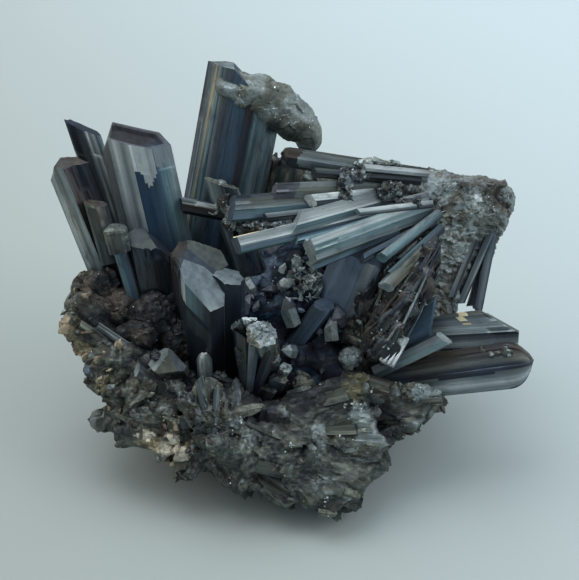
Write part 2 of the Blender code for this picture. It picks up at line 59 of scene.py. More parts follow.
# Shapes are worked out in millimetres.  Most places are given on the display face, a plane that leans
# back by faceLean through a point faceHeight above the underside, as (right, up it, out of it).
mm = 0.001
faceLean = math.radians(36.5)
faceHeight = 24.0
faceAxes = np.array([
    [1.0, 0.0, 0.0],
    [0.0, math.sin(faceLean), math.cos(faceLean)],
    [0.0, -math.cos(faceLean), math.sin(faceLean)]])


def faceToRow(points):
    # row frame = right * first axis + up * second + out * third, then raised by faceHeight
    return np.asarray(points, float) @ faceAxes + (0.0, 0.0, faceHeight)


def rowToFace(points):
    # the inverse: the axes are square to each other, so their transpose turns it back
    return (np.asarray(points, float) - (0.0, 0.0, faceHeight)) @ faceAxes.T


def unit(vectors):
    return vectors / np.maximum(np.linalg.norm(vectors, axis=-1, keepdims=True), 1e-12)


def linked(name, data):
    # a new object at the origin that shows data
    obj = bpy.data.objects.new(name, data)
    bpy.context.scene.collection.objects.link(obj)
    return obj


def linear(hexColour):
    # sRGB hex to linear: c / 12.92 under 0.04045, else ((c + 0.055) / 1.055) ^ 2.4
    value = np.array([int(hexColour[k:k + 2], 16) for k in (1, 3, 5)]) / 255.0
    return np.where(value < 0.04045, value / 12.92, ((value + 0.055) / 1.055) ** 2.4)


# tarnish colours of stibnite faces, some of them also used as painted light and painted highlights, by the
# letter that the tables below use
tarnishAndPaintedLight = {
    "n": linear("#8b979a"),     # clean lead grey
    "w": linear("#d6dfe0"),     # fresh bright face, also used as painted highlight and painted light
    "t": linear("#6f8f95"),     # teal film
    "b": linear("#4d6478"),     # steel-blue film
    "u": linear("#28425a"),     # deep blue film
    "j": linear("#8092a8"),     # pale steel blue, dull
    "y": linear("#f0d9a4"),     # painted golden highlight
    "z": linear("#fff0c8"),     # brightest painted golden highlight
    "d": linear("#545c63"),     # dark slate
    "k": linear("#2a2e35"),     # nearly black
    "g": linear("#a8946c"),     # straw gold film
    "p": linear("#5e6067"),     # plum grey
    "m": linear("#666a62"),     # greenish grey, slightly altered
    "o": linear("#4a443f"),     # brown-grey, altered
    "q": linear("#4b524f"),     # dark greenish grey
    "s": linear("#a2977f"),     # tan antimony ochre stain
    "r": linear("#9798a4"),     # pinkish grey druse
    "l": linear("#6c6a55"),     # olive yellow stain
    "c": linear("#d6d0c0"),     # pale cream crust
    "v": linear("#23263a"),     # blue-black
}


def letterColours(letters):
    return np.array([tarnishAndPaintedLight[letter] for letter in letters])


# noise in numpy, on whole arrays

def hashed(cells, salt):
    # a number from 0 to 1 for each whole-numbered cell: its coordinates times primes, mixed by shifts
    cells = cells.astype(np.int64)
    mixed = cells[..., 0] * 73856093 ^ cells[..., 1] * 19349663 ^ cells[..., 2] * 83492791
    mixed = (mixed ^ salt * 2654435761) & 0xFFFFFFFF
    mixed = ((mixed ^ (mixed >> 15)) * 2246822519) & 0xFFFFFFFF
    mixed = ((mixed ^ (mixed >> 13)) * 3266489917) & 0xFFFFFFFF
    return ((mixed ^ (mixed >> 16)) & 0xFFFFFF) / float(0xFFFFFF)


def softNoise(points, salt):
    # value noise from -1 to 1: the eight corners of the unit cell, blended by 3t^2 - 2t^3
    base = np.floor(points)
    part = points - base
    part = part * part * (3.0 - 2.0 * part)
    total = np.zeros(len(points))
    for corner in np.ndindex(2, 2, 2):
        weight = np.prod(np.where(np.array(corner) == 1, part, 1.0 - part), axis=1)
        total += weight * hashed(base + corner, salt)
    return 2.0 * total - 1.0


def brokenFacets(points, salt):
    # height of a broken surface from about -1 to 1: each point takes the plane of its nearest random
    # seed, plane = offset + tilt . (point - seed).  Also gives one random number per facet.
    base = np.floor(points)
    nearest = np.full(len(points), 9.0)
    height = np.zeros(len(points))
    chance = np.zeros(len(points))
    for shift in np.ndindex(3, 3, 3):
        cell = base + shift - 1.0
        seed = cell + np.stack([hashed(cell, salt + k) for k in (1, 2, 3)], axis=1)
        away = points - seed
        distance = (away ** 2).sum(axis=1)
        tilt = np.stack([hashed(cell, salt + k) for k in (4, 5, 6)], axis=1) - 0.5
        closer = distance < nearest
        offset = hashed(cell, salt + 7) - 0.5
        height = np.where(closer, offset + 1.7 * (tilt * away).sum(axis=1), height)
        chance = np.where(closer, hashed(cell, salt + 8), chance)
        nearest = np.where(closer, distance, nearest)
    return height, chance


# putting arrays into meshes

def addPiece(name, parts, material, slotName, *replaced, crease=0.0):
    # joins surfaces of {points, quads, tris, uv, tint} into one mesh in the row frame, in metres, and
    # leaves edges sharp that turn by more than crease
    offsets = np.cumsum([0] + [len(part["points"]) for part in parts])
    points = np.concatenate([part["points"] for part in parts]) * mm
    points = np.clip(points, np.array(cadBox[0]), np.array(cadBox[1]))
    quads = np.concatenate([part["quads"] + offset for part, offset in zip(parts, offsets)])
    tris = np.concatenate([part["tris"] + offset for part, offset in zip(parts, offsets)])
    uv = np.concatenate([part["quadUv"].reshape(-1, 2) for part in parts]
                        + [part["triUv"].reshape(-1, 2) for part in parts])
    tint = np.concatenate([part["quadTint"].reshape(-1, 3) for part in parts]
                          + [part["triTint"].reshape(-1, 3) for part in parts])
    mesh = bpy.data.meshes.new(name)
    mesh.vertices.add(len(points))
    mesh.vertices.foreach_set("co", points.ravel())
    loops = np.concatenate([quads.ravel(), tris.ravel()])
    mesh.loops.add(len(loops))
    mesh.loops.foreach_set("vertex_index", loops.astype(np.int32))
    mesh.polygons.add(len(quads) + len(tris))
    starts = np.concatenate([4 * np.arange(len(quads)), 4 * len(quads) + 3 * np.arange(len(tris))])
    mesh.polygons.foreach_set("loop_start", starts.astype(np.int32))
    mesh.update(calc_edges=True)
    mesh.uv_layers.new(name="faceMillimetres").data.foreach_set("uv", uv.ravel())
    colour = np.concatenate([tint, np.ones((len(tint), 1))], axis=1)
    mesh.attributes.new("tint", "FLOAT_COLOR", "CORNER").data.foreach_set("color", colour.ravel())
    mesh.attributes.new("fibre", "FLOAT_VECTOR", "POINT").data.foreach_set("vector", (points / mm).ravel())
    ends = np.concatenate([part.get("quadEnd", np.zeros(len(part["quads"]))) for part in parts]
                          + [part.get("triEnd", np.zeros(len(part["tris"]))) for part in parts])
    mesh.attributes.new("end", "FLOAT", "FACE").data.foreach_set("value", ends.astype(np.float32))
    mesh.set_sharp_from_angle(angle=crease)
    return placePiece(linked(name, mesh), material, slotName, *replaced)


def placePiece(obj, material, slotName, *replaced):
    obj.data.materials.clear()
    obj.data.materials.append(material)
    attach(obj, "root")
    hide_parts(*replaced)
    print(f"made {obj.name}: {sum(len(p.vertices) - 2 for p in obj.data.polygons)} triangles")
    return obj


def facedOut(part):
    # turns every face round if the signed volume, the sum of a . (b x c) / 6, is negative
    corner = part["points"][part["quads"]]
    volume = np.einsum("ij,ij->", corner[:, 0], np.cross(corner[:, 1], corner[:, 2]))
    volume += np.einsum("ij,ij->", corner[:, 0], np.cross(corner[:, 2], corner[:, 3]))
    corner = part["points"][part["tris"]]
    volume += np.einsum("ij,ij->", corner[:, 0], np.cross(corner[:, 1], corner[:, 2]))
    if volume < 0.0:
        for key in ("quads", "tris", "quadUv", "triUv", "quadTint", "triTint"):
            part[key] = part[key][:, ::-1]
    return part


# one striated crystal

prismSection = [(-1.0, 0.1), (-0.7, 0.8), (0.1, 1.0), (0.75, 0.65), (1.0, -0.15), (0.6, -0.9), (-0.65, -0.85)]
bladeSection = [(-1.0, 0.0), (-0.8, 0.75), (0.1, 1.0), (0.8, 0.7), (1.0, -0.1), (0.75, -0.8), (-0.75, -0.85)]
barSection = [(-1.0, -0.1), (-0.85, 0.55), (-0.15, 0.95), (0.9, 0.8), (1.0, -0.2), (0.7, -0.9), (-0.7, -0.85)]
rhombSection = [(-1.0, 0.05), (-0.12, 1.0), (1.0, 0.1), (0.4, -0.95), (-0.6, -0.9)]


def crystal(foot, tip, section, width=2.0, thick=2.0, flare=1.0, ends=((0.0, 0.0, 0.0),),
            tones="n", cap="n", lath=0.4, relief=0.02, steps=3, ragged=0.0, pit=0.0, rounding=0.0,
            patches=(), jag=0.006, seed=1):
    # A section carried from foot to tip, each of its points at start + side * x + out * y + axis * height.
    # Each of its faces is split into laths about lath wide whose borders stand in or out by about relief,
    # which makes the striations, and steps more groups of laths are sunk near the tip.  The height is the
    # least of the end planes, length + rise + sideSlope * side + outSlope * out, and the cap is rings of
    # the rim drawn in to the middle, on the same planes.  ragged breaks the cap into small facets, pit
    # sinks it inside its rim, rounding wears the last so many millimetres down to a blunt end, and flare
    # is the size of the tip beside the foot.  tones holds a word for each face, whose letters run from
    # one edge of it to the other, and cap one letter for each end plane.  patches recolours a face:
    # (from, to) shares of the length, face, letter, and where wanted (near, far) shares of its width.
    # Each patch ends unevenly, by about jag of the length from lath to lath.
    rng = np.random.default_rng(seed)
    start = faceToRow(foot)
    along = faceToRow(tip) - start
    length = np.linalg.norm(along)
    axis = along / length
    side = unit(np.cross(axis, faceAxes[2]))
    out = np.cross(side, axis)
    corners = np.array(section) * (width / 2.0, thick / 2.0)
    after = np.roll(corners, -1, axis=0)
    edgeLength = np.linalg.norm(after - corners, axis=1)
    counts = np.maximum(2, np.round(edgeLength / lath)).astype(int)
    edge = np.repeat(np.arange(len(corners)), counts)
    step = np.arange(len(edge)) - np.repeat(np.cumsum(counts) - counts, counts)
    inner = step > 0
    share = (step + inner * rng.uniform(-0.35, 0.35, len(edge))) / counts[edge]
    outline = corners[edge] + (after - corners)[edge] * share[:, None]
    normal = unit(np.stack([(corners - after)[:, 1], (after - corners)[:, 0]], axis=1))
    normal *= np.sign((normal * (corners + after)).sum(axis=1).mean())
    normal = normal[edge]
    around = len(edge)
    arc = np.concatenate([[0.0], np.cumsum(np.linalg.norm(np.roll(outline, -1, axis=0) - outline, axis=1))])

    # laths: proud of the face or sunk in it, waving slowly along the crystal, with terraces near the tip
    rowSpacing, fewestRows, mostRows = 0.35, 12, 96
    rowCount = int(np.clip(length / rowSpacing, fewestRows, mostRows))
    climb = np.linspace(0.0, 1.0, rowCount)[:, None]
    knots = rng.normal(0.0, 1.0, (9, around))
    knotPlace = climb[:, 0] * 7.999
    low = knotPlace.astype(int)
    mix = (knotPlace - low)[:, None]
    mix = mix * mix * (3.0 - 2.0 * mix)
    wave = knots[low] * (1.0 - mix) + knots[low + 1] * mix
    proud = rng.normal(0.0, relief, around) + 0.5 * relief * wave
    girth = arc[-1]
    for _ in range(steps):
        middle = rng.uniform(0.0, girth)
        reach = rng.uniform(0.03, 0.12) * girth
        begins = 1.0 - rng.uniform(0.02, 0.4) ** 1.3
        apart = np.abs((arc[:-1] - middle + girth / 2.0) % girth - girth / 2.0)
        deep = rng.uniform(0.03, 0.08) * min(width * section[2][0] if section[2][0] > 1 else width, 4.0)
        proud = proud - deep * (apart < reach) * np.clip((climb - begins) * rowCount, 0.0, 1.0)
    proud = proud * inner

    size = 1.0 + (flare - 1.0) * climb
    if rounding:
        worn = np.clip((climb - 1.0) * length / rounding + 1.0, 0.0, 1.0)
        size = size * np.sqrt(1.0 - 0.75 * worn ** 2)
    flat = outline[None] * size[..., None] + normal[None] * proud[..., None]

    def planeHeights(spots):
        heights = [length + rise + sideSlope * spots[..., 0] + outSlope * spots[..., 1]
                   for sideSlope, outSlope, rise in ends]
        return np.min(heights, axis=0), np.argmin(heights, axis=0)

    rimTop, _ = planeHeights(flat[-1])
    ringSpacing, fewestRings = 0.22, 8
    ringCount = max(fewestRings, int(corners[:, 0].max() / ringSpacing))
    rings = np.linspace(1.0, 0.0, ringCount + 1)[1:, None, None]
    centre = flat[-1].mean(axis=0)
    capFlat = centre + (flat[-1] - centre)[None] * rings
    if len(ends) > 1:
        # a ring point that lies close to where the two lowest planes meet is moved onto that crease
        heights = np.stack([length + rise + sideSlope * capFlat[..., 0] + outSlope * capFlat[..., 1]
                            for sideSlope, outSlope, rise in ends])
        order = np.argsort(heights, axis=0)
        gap = np.take_along_axis(heights, order, axis=0)
        slopes = np.array([end[:2] for end in ends])
        climbing = slopes[order[1]] - slopes[order[0]]
        steep = np.linalg.norm(climbing, axis=-1) + 1e-9
        away = (gap[1] - gap[0]) / steep
        near = (away < 0.3) & (rings[..., 0] < 0.97)
        capFlat = capFlat - np.where(near, away / steep, 0.0)[..., None] * climbing
    capTop, _ = planeHeights(capFlat)
    capTop = capTop - pit * np.clip((0.86 - rings[..., 0]) * 8.0, 0.0, 1.0)
    if ragged:
        spots = np.concatenate([capFlat, np.full(capFlat.shape[:2] + (1,), seed * 3.7)], axis=-1)
        facets, _ = brokenFacets(spots.reshape(-1, 3) / 0.8, seed)
        capTop = capTop + ragged * (facets.reshape(capTop.shape) - 0.3) * (1.0 - rings[..., 0] ** 4)
    heights = np.concatenate([climb * rimTop[None], capTop[:-1]])
    flatAll = np.concatenate([flat, capFlat[:-1]])
    levels = len(flatAll)
    local = np.concatenate([flatAll, heights[..., None]], axis=-1).reshape(-1, 3)
    middles = np.array([[0.0, 0.0, 0.0], [centre[0], centre[1], capTop[-1].mean()]])
    local = np.concatenate([local, middles])
    points = start + local @ np.stack([side, out, axis])

    # faces: a grid round and up, closed by a fan at the foot and one at the middle of the cap
    here = np.arange(around)
    there = np.roll(here, -1)
    rows = np.arange(levels - 1)[:, None] * around
    quads = np.stack([rows + here, rows + there, rows + around + there, rows + around + here], axis=-1)
    quads = quads.reshape(-1, 4)
    footFan = np.stack([there, here, np.full(around, levels * around)], axis=1)
    last = (levels - 1) * around
    capFan = np.stack([last + here, last + there, np.full(around, levels * around + 1)], axis=1)
    tris = np.concatenate([footFan, capFan])

    sideUv = np.stack(np.broadcast_arrays(arc[None, :], climb * length), axis=-1) + (0.0, seed * 17.0)
    lower, upper = sideUv[:-1], sideUv[1:]
    sideQuadUv = np.stack([lower[:, :-1], lower[:, 1:], upper[:, 1:], upper[:, :-1]], axis=2)
    capUv = 0.15 * np.concatenate([flatAll, flatAll[:, :1]], axis=1)[rowCount - 1:] + (0.0, seed * 17.0)
    lower, upper = capUv[:-1], capUv[1:]
    capQuadUv = np.stack([lower[:, :-1], lower[:, 1:], upper[:, 1:], upper[:, :-1]], axis=2)
    quadUv = np.concatenate([sideQuadUv.reshape(-1, 4, 2), capQuadUv.reshape(-1, 4, 2)])
    triUv = points[tris][..., :2] + (seed * 5.0, 200.0)

    # colour: the letters of each face run into each other across it, each lath is a little lighter or
    # darker, and the foot is darkened towards nearly black as painted shade
    words = tones.split()
    faceLetters = [words[k % len(words)] for k in range(len(corners))]

    def acrossFace(where):
        tint = np.empty((around, 3))
        for k, letters in enumerate(faceLetters):
            mine = edge == k
            ramp = letterColours(letters)
            stops = np.linspace(0.0, 1.0, len(letters)) if len(letters) > 1 else np.array([0.5])
            tint[mine] = np.stack([np.interp(where[mine], stops, ramp[:, c]) for c in range(3)], axis=1)
        return tint

    lathTone = np.exp(rng.normal(0.0, 0.1, (around, 1)))
    leftTint = acrossFace(share) * lathTone
    rightTint = acrossFace(np.where(np.roll(inner, -1), np.roll(share, -1), 1.0)) * lathTone
    strip = np.stack([leftTint, rightTint, rightTint, leftTint], axis=1)
    sideTint = np.broadcast_to(strip, (rowCount - 1, around, 4, 3)).copy()
    shake = rng.normal(0.0, jag, around)
    middle = 0.5 * (climb[1:] + climb[:-1]) + shake + np.roll(shake, 1) + np.roll(shake, 2)
    for low, high, face, letter, *span in patches:
        nearSide, farSide = span or (-1.0, 2.0)
        within = (edge == face) & (share >= nearSide) & (share < farSide)
        hit = (middle > low) & (middle < (high if high < 1.0 else 2.0)) & within[None]
        sideTint[hit] = tarnishAndPaintedLight[letter]
    corner = np.stack([climb[:-1, 0], climb[:-1, 0], climb[1:, 0], climb[1:, 0]], axis=1)[:, None, :, None]
    # painted shade: the lower part of each crystal is mixed towards nearly black, most at the foot
    footShadeShare, footShadeReach = 0.65, 0.45
    footShade = footShadeShare * np.clip((footShadeReach - corner) / footShadeReach, 0.0, 1.0)
    sideTint = sideTint * (1.0 - footShade) + tarnishAndPaintedLight["k"] * footShade
    sideTint = sideTint.reshape(-1, 4, 3)
    capCentre = flatAll[rowCount - 1:]
    capCentre = 0.5 * (capCentre[:-1] + capCentre[1:])
    _, facing = planeHeights(capCentre)
    capTint = letterColours(cap)[np.minimum(facing, len(cap) - 1)].reshape(-1, 3)
    # painted shade: the sunk middle of the cap is darkened to 0.35 of its colour
    if pit:
        capTint = np.where(np.repeat(rings[:-1, 0, 0] < 0.8, around)[:, None], 0.35 * capTint, capTint)
    quadTint = np.concatenate([sideTint, np.repeat(capTint[:, None], 4, axis=1)])
    triTint = np.repeat(np.concatenate([leftTint, capTint[-around:]])[:, None], 3, axis=1)
    quadEnd = np.arange(len(quads)) >= len(sideTint)
    triEnd = np.arange(len(tris)) >= around
    return facedOut(dict(points=points, quads=quads, tris=tris, quadUv=quadUv, triUv=triUv,
                         quadTint=quadTint, triTint=triTint, quadEnd=quadEnd, triEnd=triEnd))


# many small crystals at once

def swarm(feet, along, length, width, thick, tint, seed, blunt=0.15, waist=0.6):
    # Every crystal is a six-sided section at heights 0, waist and 1 of its length, drawn in to blunt of
    # its size at the last, and closed by a point just past it.  All are one array of (crystal, level,
    # corner), with each corner's radius shaken a little.
    rng = np.random.default_rng(seed)
    count = len(feet)
    helper = unit(rng.normal(0.0, 1.0, (count, 3)))
    side = unit(np.cross(along, helper))
    out = np.cross(side, along)
    sides = 6
    ring = 3 * sides                                # points in the three levels; the peak and foot follow
    angle = np.arange(sides) / sides * math.tau
    shake = rng.uniform(0.75, 1.2, (count, 1, sides))
    taper = np.array([1.0, 1.0, blunt])[None, :, None]
    lift = np.array([0.0, waist, 1.0])[None, :, None]
    slant = rng.uniform(-0.35, 0.35, (count, 1, 1)) * np.cos(angle)[None, None, :] * (lift > 0.5)
    across = np.cos(angle) * shake * taper * (width / 2.0)[:, None, None]
    deep = np.sin(angle) * shake * taper * (thick / 2.0)[:, None, None]
    high = lift * length[:, None, None] + slant * width[:, None, None]
    shell = (feet[:, None, None] + across[..., None] * side[:, None, None]
             + deep[..., None] * out[:, None, None] + high[..., None] * along[:, None, None])
    peak = feet + along * (length * (1.0 + 0.12 * blunt) + 0.1 * width)[:, None]
    points = np.concatenate([shell.reshape(count, ring, 3), peak[:, None], feet[:, None]], axis=1)
    here = np.arange(sides)
    there = np.roll(here, -1)
    quads = np.concatenate([np.stack([k + here, k + there, k + sides + there, k + sides + here], axis=1)
                            for k in (0, sides)])
    tris = np.concatenate([np.stack([2 * sides + here, 2 * sides + there, np.full(sides, ring)], axis=1),
                           np.stack([there, here, np.full(sides, ring + 1)], axis=1)])
    first = (np.arange(count) * (ring + 2))[:, None, None]
    quads = (first + quads).reshape(-1, 4)
    tris = (first + tris).reshape(-1, 3)
    points = points.reshape(-1, 3)
    tintShake = np.exp(rng.normal(0.0, 0.3, (count, 2 * sides, 1)))
    quadTint = np.repeat((tint[:, None] * tintShake).reshape(-1, 1, 3), 4, axis=1)
    triTint = np.repeat((tint[:, None] * tintShake[::-1]).reshape(-1, 1, 3), 3, axis=1)
    flat = rowToFace(points)[:, :2]
    return facedOut(dict(points=points, quads=quads, tris=tris, quadUv=flat[quads], triUv=flat[tris],
                         quadTint=quadTint, triTint=triTint))


# rough massive stibnite

ballTurns, ballBands = 24, 13
ballPoints = ballTurns * ballBands + 2


def ellipsoid(centre, radii):
    # centre + radii * (cos a cos b, sin a cos b, sin b) on a grid of turns by bands, poles closed by fans
    turn = np.arange(ballTurns) / ballTurns * math.tau
    rise = np.linspace(-1.45, 1.45, ballBands)[:, None]
    ball = np.stack(np.broadcast_arrays(np.cos(turn) * np.cos(rise), np.sin(turn) * np.cos(rise),
                                        np.sin(rise)), axis=-1).reshape(-1, 3)
    ball = np.concatenate([ball, [[0.0, 0.0, -1.0], [0.0, 0.0, 1.0]]])
    points = faceToRow(np.array(centre) + ball * radii)
    here = np.arange(ballTurns)
    there = np.roll(here, -1)
    rows = np.arange(ballBands - 1)[:, None] * ballTurns
    top = (ballBands - 1) * ballTurns
    quads = np.stack([rows + here, rows + there, rows + ballTurns + there, rows + ballTurns + here], axis=-1)
    tris = np.concatenate([np.stack([there, here, np.full(ballTurns, ballPoints - 2)], axis=1),
                           np.stack([top + here, top + there, np.full(ballTurns, ballPoints - 1)], axis=1)])
    return points * mm, quads.reshape(-1, 4).tolist() + tris.tolist()


def remeshed(obj, voxel):
    modifier = obj.modifiers.new("skin", "REMESH")
    modifier.mode = "VOXEL"
    modifier.voxel_size = voxel * mm
    bpy.context.view_layer.update()
    evaluated = obj.evaluated_get(bpy.context.evaluated_depsgraph_get())
    mesh = bpy.data.meshes.new_from_object(evaluated)
    obj.modifiers.clear()
    obj.data = mesh
    return obj


def lumpSkin(name, lumps, voxel):
    # one closed skin round overlapping ellipsoids
    points, faces = [], []
    for centre, radii in lumps:
        more, moreFaces = ellipsoid(centre, radii)
        faces += [[k + ballPoints * len(points) for k in face] for face in moreFaces]
        points.append(more)
    mesh = bpy.data.meshes.new(name)
    mesh.from_pydata(np.concatenate(points).tolist(), [], faces)
    return remeshed(linked(name, mesh), voxel)


def nodeSkin(name, node, voxel):
    # one closed skin round a copy of a CAD node, whose loose triangles are merged first
    obj = linked(name, cadNodes[node].data.copy())
    modifier = obj.modifiers.new("weld", "WELD")
    modifier.merge_threshold = 1e-6
    return remeshed(obj, voxel)


def smoothed(points, edges, rounds):
    # each round moves a vertex half way to the mean of its neighbours
    count = np.bincount(edges.ravel(), minlength=len(points))[:, None]
    for _ in range(rounds):
        total = np.stack([np.bincount(edges[:, 0], points[edges[:, 1], k], len(points))
                          + np.bincount(edges[:, 1], points[edges[:, 0], k], len(points))
                          for k in range(3)], axis=1)
        points = 0.5 * points + 0.5 * total / count
    return points


def radiating(points, centre, usual, squeeze):
    # draws the distance from the centre in towards its usual value, so that what is made on the result
    # is stretched along the rays by 1 / squeeze
    away = points - centre
    distance = np.linalg.norm(away, axis=1, keepdims=True)
    return centre + away / np.maximum(distance, 0.1) * (usual + (distance - usual) * squeeze)


def roughen(obj, node, centres, usual, squeeze, sizes, depths, toneLetters, stains=(), smoothing=4,
            flatBelow=-1.0, puff=0.0, cuts=(), dents=(), mottle=0.35, perFacet=0.7, seed=1):
    # Smooths the skin and presses what stands past each (place, direction) plane of cuts back onto it,
    # then moves it along its normals by broken facets that are stretched along rays from the nearest
    # growth centre, at several sizes.  puff gives back what smoothing took away, and each dent, (right,
    # up, out, radius, depth), sinks the skin about its place.  The colour runs along toneLetters by the
    # number of the facet, as far as perFacet goes, and by soft noise for the rest.  Each stain or painted
    # mark, (right, up, out, radius, letter), colours the skin about its place, with an uneven edge: most
    # are stains, some paint shade into dents, and some paint light and highlights.  Below flatBelow the
    # skin is neither smoothed nor roughened.  All stays inside the CAD node's box.
    mesh = obj.data
    count = len(mesh.vertices)
    points = np.empty(count * 3)
    mesh.vertices.foreach_get("co", points)
    points = points.reshape(-1, 3) / mm
    edges = np.empty(len(mesh.edges) * 2, np.int32)
    mesh.edges.foreach_get("vertices", edges)
    below = points[:, 2] < flatBelow
    points = np.where(below[:, None], points, smoothed(points, edges.reshape(-1, 2), smoothing))
    for place, direction in cuts:
        outward = unit(np.array(direction, float)) @ faceAxes
        past = np.maximum((points - faceToRow(place)) @ outward, 0.0)
        points = points - 0.9 * past[:, None] * outward
    mesh.vertices.foreach_set("co", (points * mm).ravel())
    mesh.update()
    normals = np.empty(count * 3)
    mesh.vertex_normals.foreach_get("vector", normals)
    normals = normals.reshape(-1, 3)
    rowCentres = [faceToRow(centre) for centre in centres]
    distance = np.stack([np.linalg.norm(points - centre, axis=1) for centre in rowCentres])
    nearest = np.argmin(distance + 1.5 * softNoise(points * 0.2, seed + 40), axis=0)
    height = puff + 0.35 * softNoise(points * 0.35, seed + 41)
    chance = np.zeros(count)
    fibre = np.zeros((count, 3))
    for level, (size, depth) in enumerate(zip(sizes, depths)):
        for index, centre in enumerate(rowCentres):
            mine = nearest == index
            if not mine.any():
                continue
            warped = radiating(points[mine], centre, usual, squeeze)
            fibre[mine] = warped + 50.0 * index
            facets, luck = brokenFacets(warped / size, seed + 10 * level + 100 * index)
            height[mine] += depth * facets
            chance[mine] += luck / len(sizes)
    facePoints = rowToFace(points)                  # before the facets move them
    for right, up, outOf, radius, depth in dents:
        spread = np.linalg.norm((facePoints - (right, up, outOf)) * (1.0, 1.0, 0.4), axis=1) / radius
        sunk = 1.6 - 1.6 * spread + 0.6 * softNoise(points * 0.9, seed + 45)
        height = height - depth * np.clip(sunk, 0.0, 1.0)
    height = np.where(below, 0.0, height)
    points = points + normals * height[:, None]
    lowest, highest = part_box(node)
    points = np.clip(points, np.array(lowest) / mm, np.array(highest) / mm)
    mesh.vertices.foreach_set("co", (points * mm).ravel())
    letters = letterColours(toneLetters)
    drift = 0.5 + 0.5 * softNoise(points * 0.45, seed + 44)
    rank = (perFacet * chance + (1.0 - perFacet) * drift) * (len(letters) - 1.0)
    low = np.clip(rank.astype(int), 0, len(letters) - 2)
    share = np.clip(rank - low, 0.0, 1.0)[:, None]
    tint = letters[low] * (1.0 - share) + letters[low + 1] * share
    tint = tint * np.exp(mottle * softNoise(points * 0.5, seed + 42))[:, None]
    facePoints = rowToFace(points)                  # as they now are
    for right, up, outOf, radius, letter in stains:
        spread = np.linalg.norm((facePoints - (right, up, outOf)) * (1.0, 1.0, 0.4), axis=1) / radius
        spread = spread + 0.35 * softNoise(points * 0.9, seed + 43)
        spread = spread + 0.25 * softNoise(points * 2.4, seed + 46)
        weight = np.clip(2.6 - 2.6 * spread, 0.0, 1.0)[:, None]
        tint = tint * (1.0 - weight) + tarnishAndPaintedLight[letter] * weight
    colour = np.concatenate([tint, np.ones((count, 1))], axis=1)
    mesh.attributes.new("tint", "FLOAT_COLOR", "POINT").data.foreach_set("color", colour.ravel())
    mesh.attributes.new("fibre", "FLOAT_VECTOR", "POINT").data.foreach_set("vector", fibre.ravel())
    mesh.update()
    mesh.set_sharp_from_angle(angle=0.45)
    return points, normals


# materials

def addNode(tree, kind, settings=None, inputs=None, links=None):
    # adds one node: settings are its properties, inputs its socket values, links {socket: output}
    node = tree.nodes.new(kind)
    for key, value in (settings or {}).items():
        setattr(node, key, value)
    for key, value in (inputs or {}).items():
        node.inputs[key].default_value = value
    for key, output in (links or {}).items():
        tree.links.new(output, node.inputs[key])
    return node


def newMaterial(name):
    material = bpy.data.materials.new(name)
    material.use_nodes = True
    return material, material.node_tree, material.node_tree.nodes["Principled BSDF"]


# The first is the fresh, strongly streaked face.  The others change it: soft has an even film and faint
# streaks, bar has finer ones, dull is a blue film that hardly shines, altered is darker and shines less.
crystalFinish = dict(film="#3c4f66", metallic=0.62, roughLow=0.28, roughHigh=0.5, endRough=0.75,
                     streakAcross=1.4, streakAlong=0.07, streakLow=0.55, streakHigh=1.45,
                     grooveAcross=7.0, grooveAlong=0.2, grooveDepth=0.0001,
                     etchAcross=1.0, etchAlong=0.25, etched=0.45)
softFinish = dict(crystalFinish, metallic=0.5, streakLow=0.84, streakHigh=1.16, roughLow=0.36, etched=0.25)
barFinish = dict(crystalFinish, streakAcross=2.0, streakAlong=0.05, streakLow=0.68, streakHigh=1.3,
                 etched=0.3)
dullFinish = dict(softFinish, film="#52667f", metallic=0.15, roughLow=0.5, roughHigh=0.7)
alteredFinish = dict(crystalFinish, film="#33352f", metallic=0.45, roughLow=0.42, roughHigh=0.65)


